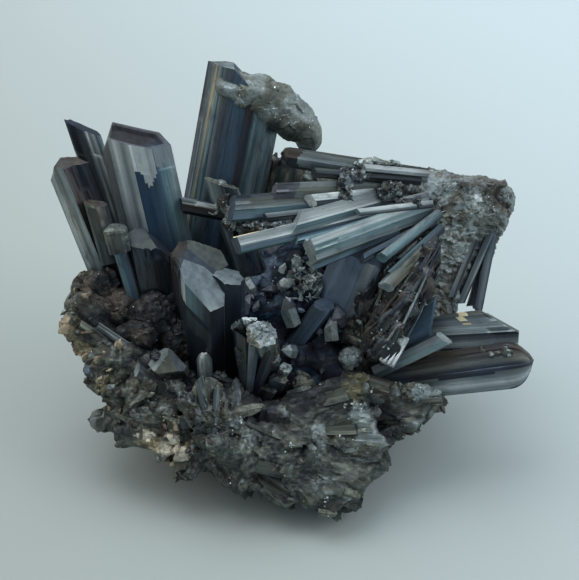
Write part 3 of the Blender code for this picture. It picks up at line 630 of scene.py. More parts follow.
def grownStibnite(name, look):
    # stibnite crystal faces as grown: metallic lead grey under a thin tarnish film.  The eye sees
    # lengthwise striations, brighter and darker streaks, and a shine that comes and goes in patches.
    material, tree, shader = newMaterial(name)
    face = addNode(tree, "ShaderNodeUVMap", {"uv_map": "faceMillimetres"}).outputs["UV"]
    place = addNode(tree, "ShaderNodeTexCoord").outputs["Object"]
    tint = addNode(tree, "ShaderNodeAttribute", {"attribute_name": "tint"}).outputs["Color"]
    streakSpace = addNode(tree, "ShaderNodeMapping", None,
                          {"Scale": (look["streakAcross"], look["streakAlong"], 1.0)}, {"Vector": face})
    streak = addNode(tree, "ShaderNodeTexNoise", None, {"Scale": 1.0, "Detail": 3.0, "Roughness": 0.6},
                     {"Vector": streakSpace.outputs["Vector"]})
    streakTone = addNode(tree, "ShaderNodeMapRange", None,
                         {"From Min": 0.3, "From Max": 0.7, "To Min": look["streakLow"],
                          "To Max": look["streakHigh"]}, {"Value": streak.outputs["Fac"]})
    toned = addNode(tree, "ShaderNodeMix", {"data_type": "RGBA", "blend_type": "MULTIPLY"}, {"Factor": 1.0},
                    {"A": tint, "B": streakTone.outputs["Result"]})
    # 0.12 per mm: tarnish patches about 8 mm across
    cloud = addNode(tree, "ShaderNodeTexNoise", None, {"Scale": 120.0, "Detail": 2.0}, {"Vector": place})
    cloudTone = addNode(tree, "ShaderNodeMapRange", None,
                        {"From Min": 0.42, "From Max": 0.62, "To Min": 0.0, "To Max": 0.35},
                        {"Value": cloud.outputs["Fac"]})
    filmed = addNode(tree, "ShaderNodeMix", {"data_type": "RGBA"},
                     {"B": (*linear(look["film"]), 1.0)},
                     {"Factor": cloudTone.outputs["Result"], "A": toned.outputs["Result"]})
    # etched patches about 1 mm across and 4 mm long: dark and dull
    etchSpace = addNode(tree, "ShaderNodeMapping", None,
                        {"Scale": (look["etchAcross"], look["etchAlong"], 1.0)},
                        {"Vector": face})
    etch = addNode(tree, "ShaderNodeTexNoise", None, {"Scale": 1.0, "Detail": 5.0, "Roughness": 0.7},
                   {"Vector": etchSpace.outputs["Vector"]})
    etchAmount = addNode(tree, "ShaderNodeMapRange", None,
                         {"From Min": 0.52, "From Max": 0.66, "To Min": 0.0, "To Max": look["etched"]},
                         {"Value": etch.outputs["Fac"]})
    etchedFilm = addNode(tree, "ShaderNodeMix", {"data_type": "RGBA"}, {"B": (*linear("#2c3033"), 1.0)},
                         {"Factor": etchAmount.outputs["Result"], "A": filmed.outputs["Result"]})
    polish = addNode(tree, "ShaderNodeMapRange", None,
                     {"From Min": 0.35, "From Max": 0.65, "To Min": look["roughLow"],
                      "To Max": look["roughHigh"]}, {"Value": streak.outputs["Fac"]})
    shine = addNode(tree, "ShaderNodeMath", {"operation": "ADD"}, None,
                    {0: polish.outputs["Result"], 1: etchAmount.outputs["Result"]})
    grooveSpace = addNode(tree, "ShaderNodeMapping", None,
                          {"Scale": (look["grooveAcross"], look["grooveAlong"], 1.0)}, {"Vector": face})
    groove = addNode(tree, "ShaderNodeTexNoise", None, {"Scale": 1.0, "Detail": 2.0},
                     {"Vector": grooveSpace.outputs["Vector"]})
    bump = addNode(tree, "ShaderNodeBump", None, {"Strength": 0.6, "Distance": look["grooveDepth"]},
                   {"Height": groove.outputs["Fac"]})
    # the ends are etched: rougher, and less metallic than the sides
    end = addNode(tree, "ShaderNodeAttribute", {"attribute_name": "end"}).outputs["Fac"]
    # 0.7 per mm: the etched ends are mottled in patches about 1.5 mm across
    mottle = addNode(tree, "ShaderNodeTexNoise", None, {"Scale": 700.0, "Detail": 5.0, "Roughness": 0.65},
                     {"Vector": place})
    mottleTone = addNode(tree, "ShaderNodeMapRange", None,
                         {"From Min": 0.32, "From Max": 0.68, "To Min": 0.62, "To Max": 1.28},
                         {"Value": mottle.outputs["Fac"]})
    endTone = addNode(tree, "ShaderNodeMix", {"data_type": "FLOAT"}, {"A": 1.0},
                      {"Factor": end, "B": mottleTone.outputs["Result"]})
    mottled = addNode(tree, "ShaderNodeMix", {"data_type": "RGBA", "blend_type": "MULTIPLY"}, {"Factor": 1.0},
                      {"A": etchedFilm.outputs["Result"], "B": endTone.outputs["Result"]})
    etched = addNode(tree, "ShaderNodeMix", {"data_type": "FLOAT"}, {"B": look["endRough"]},
                     {"Factor": end, "A": shine.outputs["Value"]})
    metal = addNode(tree, "ShaderNodeMix", {"data_type": "FLOAT"}, {"A": look["metallic"], "B": 0.25},
                    {"Factor": end})
    level = addNode(tree, "ShaderNodeMix", {"data_type": "FLOAT"}, {"A": 0.5, "B": 0.15}, {"Factor": end})
    tree.links.new(metal.outputs["Result"], shader.inputs["Metallic"])
    tree.links.new(level.outputs["Result"], shader.inputs["Specular IOR Level"])
    tree.links.new(mottled.outputs["Result"], shader.inputs["Base Color"])
    tree.links.new(etched.outputs["Result"], shader.inputs["Roughness"])
    tree.links.new(bump.outputs["Normal"], shader.inputs["Normal"])
    return material


# The rock is streaked along its fibres in strong light and dark, the grainy finish is more even and finer,
# and the gleaming one is smoother in places, with more glints.
rockFinish = dict(fibrous=True, metallic=0.45, streaksPerMm=1.3, chipsPerMm=1.6, chipDepth=0.0004, dust=0.3,
                  toneLow=0.45, toneHigh=1.75, chipLow=0.75, chipHigh=1.3, roughLow=0.3, roughHigh=0.62,
                  glintsPerMm=2.6, glintsAbove=0.985)
grainyFinish = dict(fibrous=False, metallic=0.35, streaksPerMm=0.5, chipsPerMm=3.2, chipDepth=0.0002,
                    dust=0.12,
                    toneLow=0.78, toneHigh=1.25, chipLow=0.8, chipHigh=1.22, roughLow=0.4, roughHigh=0.75,
                    glintsPerMm=2.4, glintsAbove=0.96)
gleamingFinish = dict(fibrous=False, metallic=0.5, streaksPerMm=0.9, chipsPerMm=2.4, chipDepth=0.0003,
                      dust=0.25,
                      toneLow=0.55, toneHigh=1.5, chipLow=0.75, chipHigh=1.3, roughLow=0.2, roughHigh=0.6,
                      glintsPerMm=2.8, glintsAbove=0.93)


def brokenStibnite(name, look):
    # massive stibnite as broken: fibres that end in small cleavage facets, dulled by a thin brown-green
    # film and dust in the hollows.  The eye sees satin streaks along the fibres with scattered glints.
    material, tree, shader = newMaterial(name)
    place = addNode(tree, "ShaderNodeTexCoord").outputs["Object"]
    if look["fibrous"]:
        fibre = addNode(tree, "ShaderNodeAttribute", {"attribute_name": "fibre"}).outputs["Vector"]
    else:
        fibre = addNode(tree, "ShaderNodeMapping", None, {"Scale": (1000.0, 1000.0, 1000.0)},
                        {"Vector": place}).outputs["Vector"]
    tint = addNode(tree, "ShaderNodeAttribute", {"attribute_name": "tint"}).outputs["Color"]
    streak = addNode(tree, "ShaderNodeTexNoise", None,
                     {"Scale": look["streaksPerMm"], "Detail": 4.0, "Roughness": 0.65}, {"Vector": fibre})
    chips = addNode(tree, "ShaderNodeTexVoronoi", None, {"Scale": look["chipsPerMm"]}, {"Vector": fibre})
    chance = addNode(tree, "ShaderNodeSeparateColor", None, None, {"Color": chips.outputs["Color"]})
    tone = addNode(tree, "ShaderNodeMapRange", None,
                   {"From Min": 0.3, "From Max": 0.7, "To Min": look["toneLow"], "To Max": look["toneHigh"]},
                   {"Value": streak.outputs["Fac"]})
    toned = addNode(tree, "ShaderNodeMix", {"data_type": "RGBA", "blend_type": "MULTIPLY"}, {"Factor": 1.0},
                    {"A": tint, "B": tone.outputs["Result"]})
    chipTone = addNode(tree, "ShaderNodeMapRange", None,
                       {"From Min": 0.0, "From Max": 1.0, "To Min": look["chipLow"],
                        "To Max": look["chipHigh"]},
                       {"Value": chance.outputs["Red"]})
    chipped = addNode(tree, "ShaderNodeMix", {"data_type": "RGBA", "blend_type": "MULTIPLY"}, {"Factor": 1.0},
                      {"A": toned.outputs["Result"], "B": chipTone.outputs["Result"]})
    # 0.35 per mm: dust gathers in patches about 3 mm across
    dust = addNode(tree, "ShaderNodeTexNoise", None, {"Scale": 350.0, "Detail": 5.0, "Roughness": 0.65},
                   {"Vector": place})
    dustAmount = addNode(tree, "ShaderNodeMapRange", None,
                         {"From Min": 0.42, "From Max": 0.68, "To Min": 0.0, "To Max": look["dust"]},
                         {"Value": dust.outputs["Fac"]})
    dusted = addNode(tree, "ShaderNodeMix", {"data_type": "RGBA"}, {"B": (*linear("#4a4a43"), 1.0)},
                     {"Factor": dustAmount.outputs["Result"], "A": chipped.outputs["Result"]})
    # painted glints: a near-white spot at the middle of a cell, in the few cells whose number is high enough,
    # where the dust noise is above its mean
    spark = addNode(tree, "ShaderNodeTexVoronoi", None, {"Scale": 1000.0 * look["glintsPerMm"]},
                    {"Vector": place})
    sparkChance = addNode(tree, "ShaderNodeSeparateColor", None, None, {"Color": spark.outputs["Color"]})
    chosen = addNode(tree, "ShaderNodeMath", {"operation": "GREATER_THAN"}, {1: look["glintsAbove"]},
                     {0: sparkChance.outputs["Blue"]})
    near = addNode(tree, "ShaderNodeMath", {"operation": "LESS_THAN"}, {1: 0.26},
                   {0: spark.outputs["Distance"]})
    point = addNode(tree, "ShaderNodeMath", {"operation": "MULTIPLY"}, None,
                    {0: chosen.outputs["Value"], 1: near.outputs["Value"]})
    gathered = addNode(tree, "ShaderNodeMath", {"operation": "GREATER_THAN"}, {1: 0.5},
                       {0: dust.outputs["Fac"]})
    glint = addNode(tree, "ShaderNodeMath", {"operation": "MULTIPLY"}, None,
                    {0: point.outputs["Value"], 1: gathered.outputs["Value"]})
    glinting = addNode(tree, "ShaderNodeMix", {"data_type": "RGBA"}, {"B": (*linear("#f4f8f8"), 1.0)},
                       {"Factor": glint.outputs["Value"], "A": dusted.outputs["Result"]})
    shine = addNode(tree, "ShaderNodeMapRange", None,
                    {"From Min": 0.0, "From Max": 1.0, "To Min": look["roughLow"],
                     "To Max": look["roughHigh"]},
                    {"Value": chance.outputs["Green"]})
    heights = addNode(tree, "ShaderNodeMath", {"operation": "ADD"}, None,
                      {0: chance.outputs["Red"], 1: streak.outputs["Fac"]})
    bump = addNode(tree, "ShaderNodeBump", None, {"Strength": 0.6, "Distance": look["chipDepth"]},
                   {"Height": heights.outputs["Value"]})
    shader.inputs["Metallic"].default_value = look["metallic"]
    tree.links.new(glinting.outputs["Result"], shader.inputs["Base Color"])
    tree.links.new(shine.outputs["Result"], shader.inputs["Roughness"])
    tree.links.new(bump.outputs["Normal"], shader.inputs["Normal"])
    return material


druseFinish = dict(metallic=0.25, roughness=0.28, frostPerMm=1.2)


def druseSkin():
    # late druse of small glassy grains on the stibnite: the eye sees pale pinkish grey points with
    # small sharp glints and a frosty, uneven skin
    material, tree, shader = newMaterial("grown_druse_frosted")
    look = druseFinish
    place = addNode(tree, "ShaderNodeTexCoord").outputs["Object"]
    tint = addNode(tree, "ShaderNodeAttribute", {"attribute_name": "tint"}).outputs["Color"]
    frost = addNode(tree, "ShaderNodeTexNoise", None,
                    {"Scale": 1000.0 * look["frostPerMm"], "Detail": 4.0, "Roughness": 0.6},
                    {"Vector": place})
    tone = addNode(tree, "ShaderNodeMapRange", None,
                   {"From Min": 0.3, "From Max": 0.7, "To Min": 0.5, "To Max": 1.3},
                   {"Value": frost.outputs["Fac"]})
    toned = addNode(tree, "ShaderNodeMix", {"data_type": "RGBA", "blend_type": "MULTIPLY"}, {"Factor": 1.0},
                    {"A": tint, "B": tone.outputs["Result"]})
    bump = addNode(tree, "ShaderNodeBump", None, {"Strength": 0.5, "Distance": 0.00015},
                   {"Height": frost.outputs["Fac"]})
    shader.inputs["Metallic"].default_value = look["metallic"]
    shader.inputs["Roughness"].default_value = look["roughness"]
    tree.links.new(toned.outputs["Result"], shader.inputs["Base Color"])
    tree.links.new(bump.outputs["Normal"], shader.inputs["Normal"])
    return material


grownMaterial = grownStibnite("grown_stibnite_striated", crystalFinish)
softMaterial = grownStibnite("grown_stibnite_even_film", softFinish)
barMaterial = grownStibnite("grown_stibnite_fine_striated", barFinish)
dullMaterial = grownStibnite("grown_stibnite_dull_film", dullFinish)
alteredMaterial = grownStibnite("grown_stibnite_altered", alteredFinish)
brokenMaterial = brokenStibnite("massive_stibnite_broken", rockFinish)
grainyMaterial = brokenStibnite("granular_stibnite_satin", grainyFinish)
gleamingMaterial = brokenStibnite("cleaved_stibnite_gleaming", gleamingFinish)
druseMaterial = druseSkin()
print("materials are ready")


def setGrains(rng, places, stand, shake, sizeRange, sunk, shape, letters, seed, tintRng=None, **form):
    # A swarm of grains that stand along stand, shaken by shake, with their feet sunk below places by sunk
    # of their size.  length, width and thickness are size times shape, and letters gives the colours.
    along = unit(stand + rng.normal(0.0, shake, places.shape))
    sizes = rng.uniform(*sizeRange, len(places))
    length, width, thick = (sizes * times for times in shape)
    tint = letterColours(letters)[(tintRng or rng).integers(0, len(letters), len(places))]
    return swarm(places - along * (sizes * sunk)[:, None], along, length, width, thick, tint, seed, **form)


# the single crystals

tallCrystal = dict(
    foot=(-12.6, 3.5, -8.0), tip=(-6.4, 32.9, 0.0),
    section=[(-6.0, -1.6), (-4.6, 0.6), (-2.9, 2.3), (0.1, 3.2), (2.4, 3.3), (4.7, 2.1),
             (6.3, -0.8), (4.2, -3.9), (-3.8, -4.1)],
    ends=((0.05, -0.1, 0.0), (-0.7, 0.0, -1.4)),
    tones="dn tymnttkt ndbb bbok otntnn tn d d d", cap="nd", lath=0.4, relief=0.03, seed=11)
broadLeft = dict(
    foot=(-18.6, 0.0, -5.0), tip=(-23.2, 23.8, 2.2),
    section=[(-5.0, -0.5), (-3.4, 2.5), (-0.5, 3.3), (2.6, 3.1), (5.2, 0.3), (3.6, -3.2), (-3.2, -3.4)],
    ends=((-0.42, -0.3, -1.3), (1.6, -0.2, 5.0)), patches=((0.8, 1.0, 2, "w"), (0.87, 1.0, 3, "n")),
    tones="p nwnw uub utn t d d", cap="pn", jag=0.015, lath=0.35, relief=0.01, pit=0.8, seed=12)
farLeft = dict(
    foot=(-26.5, 1.0, -3.5), tip=(-33.0, 19.3, 1.2), section=rhombSection, width=6.3, thick=5.4,
    ends=((-0.3, -0.25, -0.6), (1.2, 0.0, 1.6)),
    tones="nwmnn okk d d d", cap="ok", lath=0.4, relief=0.05, seed=13)
leftBack = dict(
    foot=(-26.5, 7.0, -9.5), tip=(-31.8, 25.0, -5.0), section=bladeSection, width=4.6, thick=4.0,
    ends=((-0.85, -0.15, 0.0),), tones="k kkd dwkwk kt d d d", cap="k", seed=14)
centreCrystals = [
    dict(foot=(-12.9, -13.5, -4.0), tip=(-12.2, 2.0, 9.0),
         section=[(-3.0, -0.2), (-2.2, 1.6), (1.5, 3.9), (3.2, 1.9), (3.1, -1.6), (0.0, -2.6), (-2.7, -2.0)],
         ends=((-0.65, -0.28, -1.14),), patches=((0.0, 0.8, 0, "k"), (0.0, 0.8, 1, "k"), (0.6, 0.75, 1, "q")),
         tones="w ttdk kk dd n d d", cap="n", lath=0.6, relief=0.008, steps=0, seed=15),
    dict(foot=(-9.2, -13.0, -6.0), tip=(-8.5, 1.8, 6.2),
         section=[(-2.4, 0.4), (-0.6, 2.0), (1.6, 1.4), (2.2, -0.4), (1.2, -2.0), (-1.6, -2.2)],
         ends=((-0.2, 0.1, 0.0),), tones="k kk kd d d d", cap="n", relief=0.02, steps=2, seed=151),
    dict(foot=(-13.4, -12.0, -9.0), tip=(-13.0, 5.6, 4.4),
         section=[(-4.2, 0.2), (-2.8, 3.2), (2.4, 3.6), (4.2, 0.8), (3.0, -1.4), (-3.2, -1.4)],
         ends=((-0.42, -0.2, 0.2), (-0.1, -0.85, 1.1), (0.5, -0.3, 1.7)), tones="o pd d d d d",
         cap="mdo", relief=0.04, steps=3, seed=152)]
darkColumn = dict(
    foot=(-19.2, -4.0, -3.5), tip=(-20.5, 7.6, 2.4), section=prismSection, width=6.8, thick=5.0,
    ends=((-0.2, -0.35, 0.0), (-1.1, 0.1, 0.2)), tones="d dk kk ok o k k", cap="mk", seed=16)
slimCapped = [
    dict(foot=(-22.2, -4.0, -0.5), tip=(-25.0, 7.6, 4.0), section=prismSection, width=2.1, thick=2.0,
         ends=((0.0, -0.2, 0.0),), tones="n tb bd d d d d", lath=0.3, seed=17),
    dict(foot=(-24.4, 5.6, 3.5), tip=(-25.2, 9.2, 4.6), section=prismSection, width=3.5, thick=3.2,
         ends=((-0.2, -0.3, 0.0),), tones="m", cap="m", lath=0.5, relief=0.16, ragged=0.5, rounding=0.6,
         seed=18),
    dict(foot=(-26.0, 4.0, 1.5), tip=(-28.2, 12.6, 3.0), section=prismSection, width=3.2, thick=2.6,
         ends=((-0.4, -0.3, 0.0),), tones="q qm mo q d d d", cap="o", lath=0.5, relief=0.12,
         ragged=0.4, seed=181)]
# its pale w and j tones are partly its film and partly painted light where the fan's bars shade it
backBlade = dict(
    foot=(-1.2, -6.0, -9.5), tip=(-4.2, 10.0, -5.6), section=bladeSection, width=9.2, thick=4.0,
    ends=((0.25, -0.3, 0.0),), tones="w jw wj w d k k", cap="d", seed=19)
# its pale j and w tones are partly its steel-blue film and partly painted light where the fan shades it
blueCrystal = dict(
    foot=(6.0, -7.4, -6.5), tip=(10.9, 5.9, 2.2), section=prismSection, width=8.4, thick=5.4,
    ends=((-0.25, -0.3, 0.0), (0.6, -0.1, 1.2)), tones="j jj jwj jj d d d",
    cap="jj", lath=0.8, relief=0.01, seed=20)
blueSide = dict(
    foot=(-0.5, -10.0, -4.8), tip=(5.2, -2.2, 0.4), section=prismSection, width=3.0, thick=2.8,
    ends=((0.3, -0.3, 0.0),), tones="d db bj b d d d", cap="j", seed=21)
splinter = [
    dict(foot=(-6.0, 2.5, -4.4), tip=(-10.0, 15.6, 0.7), section=bladeSection, width=4.4, thick=2.4,
         ends=((-0.7, -0.1, 0.2),), tones="n nd kd dn d d d", cap="m", ragged=0.4, seed=22),
    dict(foot=(-8.2, 11.2, -0.3), tip=(-16.0, 12.6, 0.2), section=prismSection, width=2.4, thick=2.2,
         ends=((0.3, -0.2, 0.0),), tones="k ko on d d d d", cap="d", ragged=0.3, seed=23)]
blueBlades = [
    dict(foot=(12.0, -10.0, 0.5), tip=(20.6, -4.3, 4.0), section=bladeSection, width=5.4, thick=2.4,
         ends=((-0.9, -0.1, 0.0),), tones="n bb bb bd d d d", cap="b", lath=0.8, relief=0.01, seed=24),
    dict(foot=(12.5, -12.0, 2.0), tip=(22.2, -6.9, 5.0), section=bladeSection, width=2.4, thick=2.4,
         ends=((0.5, -0.2, 0.0),), tones="d nn tn n d d d", cap="n", lath=0.6, seed=25)]
rightUpper = dict(
    foot=(19.0, -6.7, -0.6), tip=(33.0, -5.6, 3.0), section=bladeSection, width=5.2, thick=2.4, flare=1.18,
    ends=((1.5, -0.1, -0.4), (-0.15, 0.0, 0.4)),
    # the z, y and g patches near the root paint a golden highlight
    patches=((0.63, 0.75, 0, "z"), (0.57, 0.69, 1, "z", -1.0, 0.2), (0.58, 0.69, 1, "y", 0.28, 0.45),
             (0.58, 0.67, 1, "g", 0.5, 0.62)), jag=0.004,
    tones="m dnn kdnn n n d d", cap="mn", lath=0.3, relief=0.015, seed=26)
rightLower = dict(
    foot=(14.5, -13.6, -0.5), tip=(35.1, -10.4, 4.2), section=bladeSection, width=6.2, thick=4.2, flare=1.14,
    ends=((0.5, -0.2, 0.1), (-0.5, -0.1, 0.0)), rounding=3.0,
    patches=((0.4, 0.78, 2, "k", -1.0, 0.1),),
    jag=0.02, tones="o oomkk mnwn nd d d d", cap="mm", lath=0.3, relief=0.03, ragged=0.4, seed=27)
brokenCentre = [
    dict(foot=(-6.2, -16.6, 1.0), tip=(-6.4, -6.8, 5.6), section=prismSection, width=1.6, thick=2.0,
         flare=2.0, ends=((-0.9, 0.5, 0.0),), tones="d dm dk k d d d", cap="k", ragged=0.6, seed=28),
    dict(foot=(-6.0, -16.6, 1.6), tip=(-4.9, -7.4, 6.6), section=prismSection, width=0.9, thick=1.8,
         flare=2.2, ends=((-0.3, 0.5, 0.0),), tones="n jn nj b d d d", cap="d", relief=0.01, seed=36),
    dict(foot=(-5.6, -16.4, 1.2), tip=(-2.6, -8.8, 5.8), section=prismSection, width=1.2, thick=1.8,
         flare=2.2, ends=((-0.5, 0.5, 0.0),), tones="d od do d d d d", cap="q", ragged=0.3, seed=37)]
# broken granular blocks round the broken centre crystals
centreBlocks = [
    dict(foot=(-3.4, -9.4, 2.0), tip=(-3.9, -6.2, 8.2),
         section=[(-2.2, 0.6), (-1.9, -1.6), (-0.4, -2.3), (1.5, -2.0), (2.1, -0.2), (1.6, 1.9), (-0.6, 2.2)],
         ends=((-0.1, 0.15, 0.0), (0.5, -0.1, 0.7), (-0.7, 0.5, 0.9)), tones="m nm mn d m mn nm",
         cap="nmn", lath=0.3, relief=0.08, steps=0, ragged=0.5, seed=140),
    dict(foot=(-6.6, -7.2, 3.0), tip=(-7.6, -4.8, 6.8), section=bladeSection, width=1.8, thick=1.0,
         ends=((0.6, 0.2, 0.0),), tones="n m n", cap="n", lath=0.2, relief=0.05, ragged=0.3, seed=141),
    dict(foot=(-5.0, -6.8, 3.0), tip=(-5.7, -4.1, 7.0), section=bladeSection, width=2.2, thick=0.9,
         ends=((-0.5, 0.2, 0.0),), tones="n w n", cap="w", lath=0.2, relief=0.05, ragged=0.3, seed=142),
    dict(foot=(-2.8, -12.0, 2.0), tip=(-2.2, -9.6, 6.4), section=prismSection, width=2.2, thick=1.9,
         ends=((0.5, 0.3, 0.0), (-0.6, 0.1, 0.4)), tones="d m d", cap="md", lath=0.3, ragged=0.3, seed=143),
    dict(foot=(-1.4, -12.8, 2.0), tip=(-0.5, -11.0, 5.9), section=prismSection, width=1.8, thick=1.8,
         ends=((0.5, 0.3, 0.0), (-0.4, -0.3, 0.4)), tones="n m n", cap="nn", lath=0.3, ragged=0.2, seed=144),
    dict(foot=(-2.4, -14.8, 1.0), tip=(-1.4, -12.4, 5.4), section=prismSection, width=2.8, thick=2.2,
         ends=((0.6, 0.3, 0.0), (-0.5, 0.2, 0.4)), tones="d b d", cap="dm", lath=0.3, ragged=0.3, seed=145),
    dict(foot=(-4.2, -16.4, 1.0), tip=(-2.9, -14.0, 4.4), section=prismSection, width=2.6, thick=2.2,
         ends=((0.4, 0.4, 0.0), (-0.5, 0.2, 0.4)), tones="d k d", cap="qd", lath=0.3, ragged=0.4, seed=146),
    dict(foot=(-6.6, -12.0, 3.0), tip=(-7.0, -8.4, 6.2), section=prismSection, width=1.6, thick=1.6,
         ends=((-0.5, 0.3, 0.0),), tones="m d m", cap="m", lath=0.3, relief=0.08, ragged=0.5, seed=147)]
fibrousBlades = [
    dict(foot=(-10.7 + 0.1 * k, -20.8, 8.4), tip=tip, section=bladeSection, width=width, thick=1.6,
         ends=((0.7 - 0.5 * (k % 4), 0.2, 0.0),), tones="m mn nm mm d d d", cap="m",
         lath=0.25, relief=0.06, ragged=0.5, seed=130 + k)
    for k, (tip, width) in enumerate([((-12.6, -12.4, 8.8), 1.4), ((-10.0, -13.8, 8.9), 1.2)])]
fibrousLumps = [
    ((-11.8, -15.0, 8.0), (2.3, 2.4, 1.2)), ((-10.9, -18.4, 8.2), (2.0, 3.0, 1.3)),
    ((-16.0, -13.9, 7.6), (1.5, 1.0, 1.0)), ((-14.6, -15.6, 8.1), (1.5, 1.5, 1.2)),
    ((-13.4, -17.6, 8.5), (1.4, 1.8, 1.2)), ((-12.3, -19.8, 8.5), (1.2, 1.5, 1.1)),
    ((-9.6, -16.4, 8.2), (1.0, 2.2, 1.1)), ((-12.2, -21.4, 8.3), (1.0, 1.1, 1.0))]
rearCrystals = {
    "rear_tall_crystal": dict(foot=(-9.0, 2.0, -15.0), tip=(-13.0, 15.0, -19.0), section=prismSection,
                              width=7.0, thick=5.0, ends=((0.3, 0.3, 0.0),), tones="d", cap="n", seed=32),
    "rear_slim_crystal": dict(foot=(0.0, 4.0, -17.0), tip=(3.0, 15.5, -21.5), section=prismSection,
                              width=4.4, thick=4.0, ends=((-0.4, 0.3, 0.0),), tones="b", cap="n", seed=33),
    "rear_side_crystal": dict(foot=(9.0, -2.0, -19.0), tip=(17.0, 6.0, -23.0), section=bladeSection,
                              width=5.2, thick=4.0, ends=((0.4, 0.2, 0.0),), tones="n", cap="n", seed=34),
    "rear_low_crystal": dict(foot=(-14.0, -3.0, -18.0), tip=(-22.5, 3.5, -21.0), section=prismSection,
                             width=4.6, thick=4.2, ends=((0.2, 0.4, 0.0),), tones="d", cap="n", seed=35)}

crystalPieces = [
    ("tall_crystal", "blue_prism", [tallCrystal]),
    ("broad_left_crystal", "blue_prism", [broadLeft]),
    ("far_left_crystal", "bright_prism", [farLeft]),
    ("left_back_crystal", "dark_prism", [leftBack]),
    ("centre_crystal", "blue_prism", centreCrystals),
    ("dark_column", "dark_prism", [darkColumn]),
    ("slim_capped_crystal", "bright_prism", slimCapped),
    ("back_blade", "dark_prism", [backBlade]),
    ("blue_crystal", "blue_prism", [blueCrystal]),
    ("blue_side_crystal", "blue_prism", [blueSide]),
    ("upright_splinter", "bright_prism", splinter),
    ("blue_blade", "blue_prism", blueBlades),
    ("right_upper_blade", "bright_prism", [rightUpper]),
    ("right_lower_blade", "dark_prism", [rightLower]),
    ("broken_centre_crystal", "bright_prism", brokenCentre),
    ("fibrous_blades", "bright_prism", fibrousBlades)]
crystalPieces += [(node, "bright_prism", [shape]) for node, shape in rearCrystals.items()]
# the finish of each crystal that is not the fresh, strongly streaked one
skinOf = {"blue_crystal": dullMaterial, "blue_side_crystal": dullMaterial, "back_blade": dullMaterial,
          "broad_left_crystal": softMaterial, "centre_crystal": softMaterial, "blue_blade": softMaterial,
          "right_upper_blade": softMaterial, "right_lower_blade": softMaterial}
for node, slotName, shapes in crystalPieces:
    addPiece(node + "_striated", [crystal(**shape) for shape in shapes],
             skinOf.get(node, grownMaterial), slotName, node, crease=0.2)

# pale crumbs on the right lower blade, which follow the slope of its skin: out = base + byRight * right
# + byUp * up, give or take proud
crumbField = dict(count=14, right=(27.6, 31.8), up=(-9.3, -7.9), proud=(-0.15, 0.05), base=-11.41,
                  byRight=0.334, byUp=-0.706)
rng = np.random.default_rng(28)
crumbs = np.stack([rng.uniform(*crumbField[key], crumbField["count"])
                   for key in ("right", "up", "proud")], axis=1)
crumbs[:, 2] += (crumbField["base"] + crumbField["byRight"] * crumbs[:, 0]
                 + crumbField["byUp"] * crumbs[:, 1])
crumbSwarm = setGrains(rng, faceToRow(crumbs), faceAxes[2], 0.5, (0.4, 0.9), 0.5, (1.0, 1.2, 1.0), "mqn", 29,
                       blunt=0.6)
addPiece("right_lower_crumbs", [crumbSwarm], grainyMaterial, "dark_prism", "right_lower_blade")
print("single crystals are made")
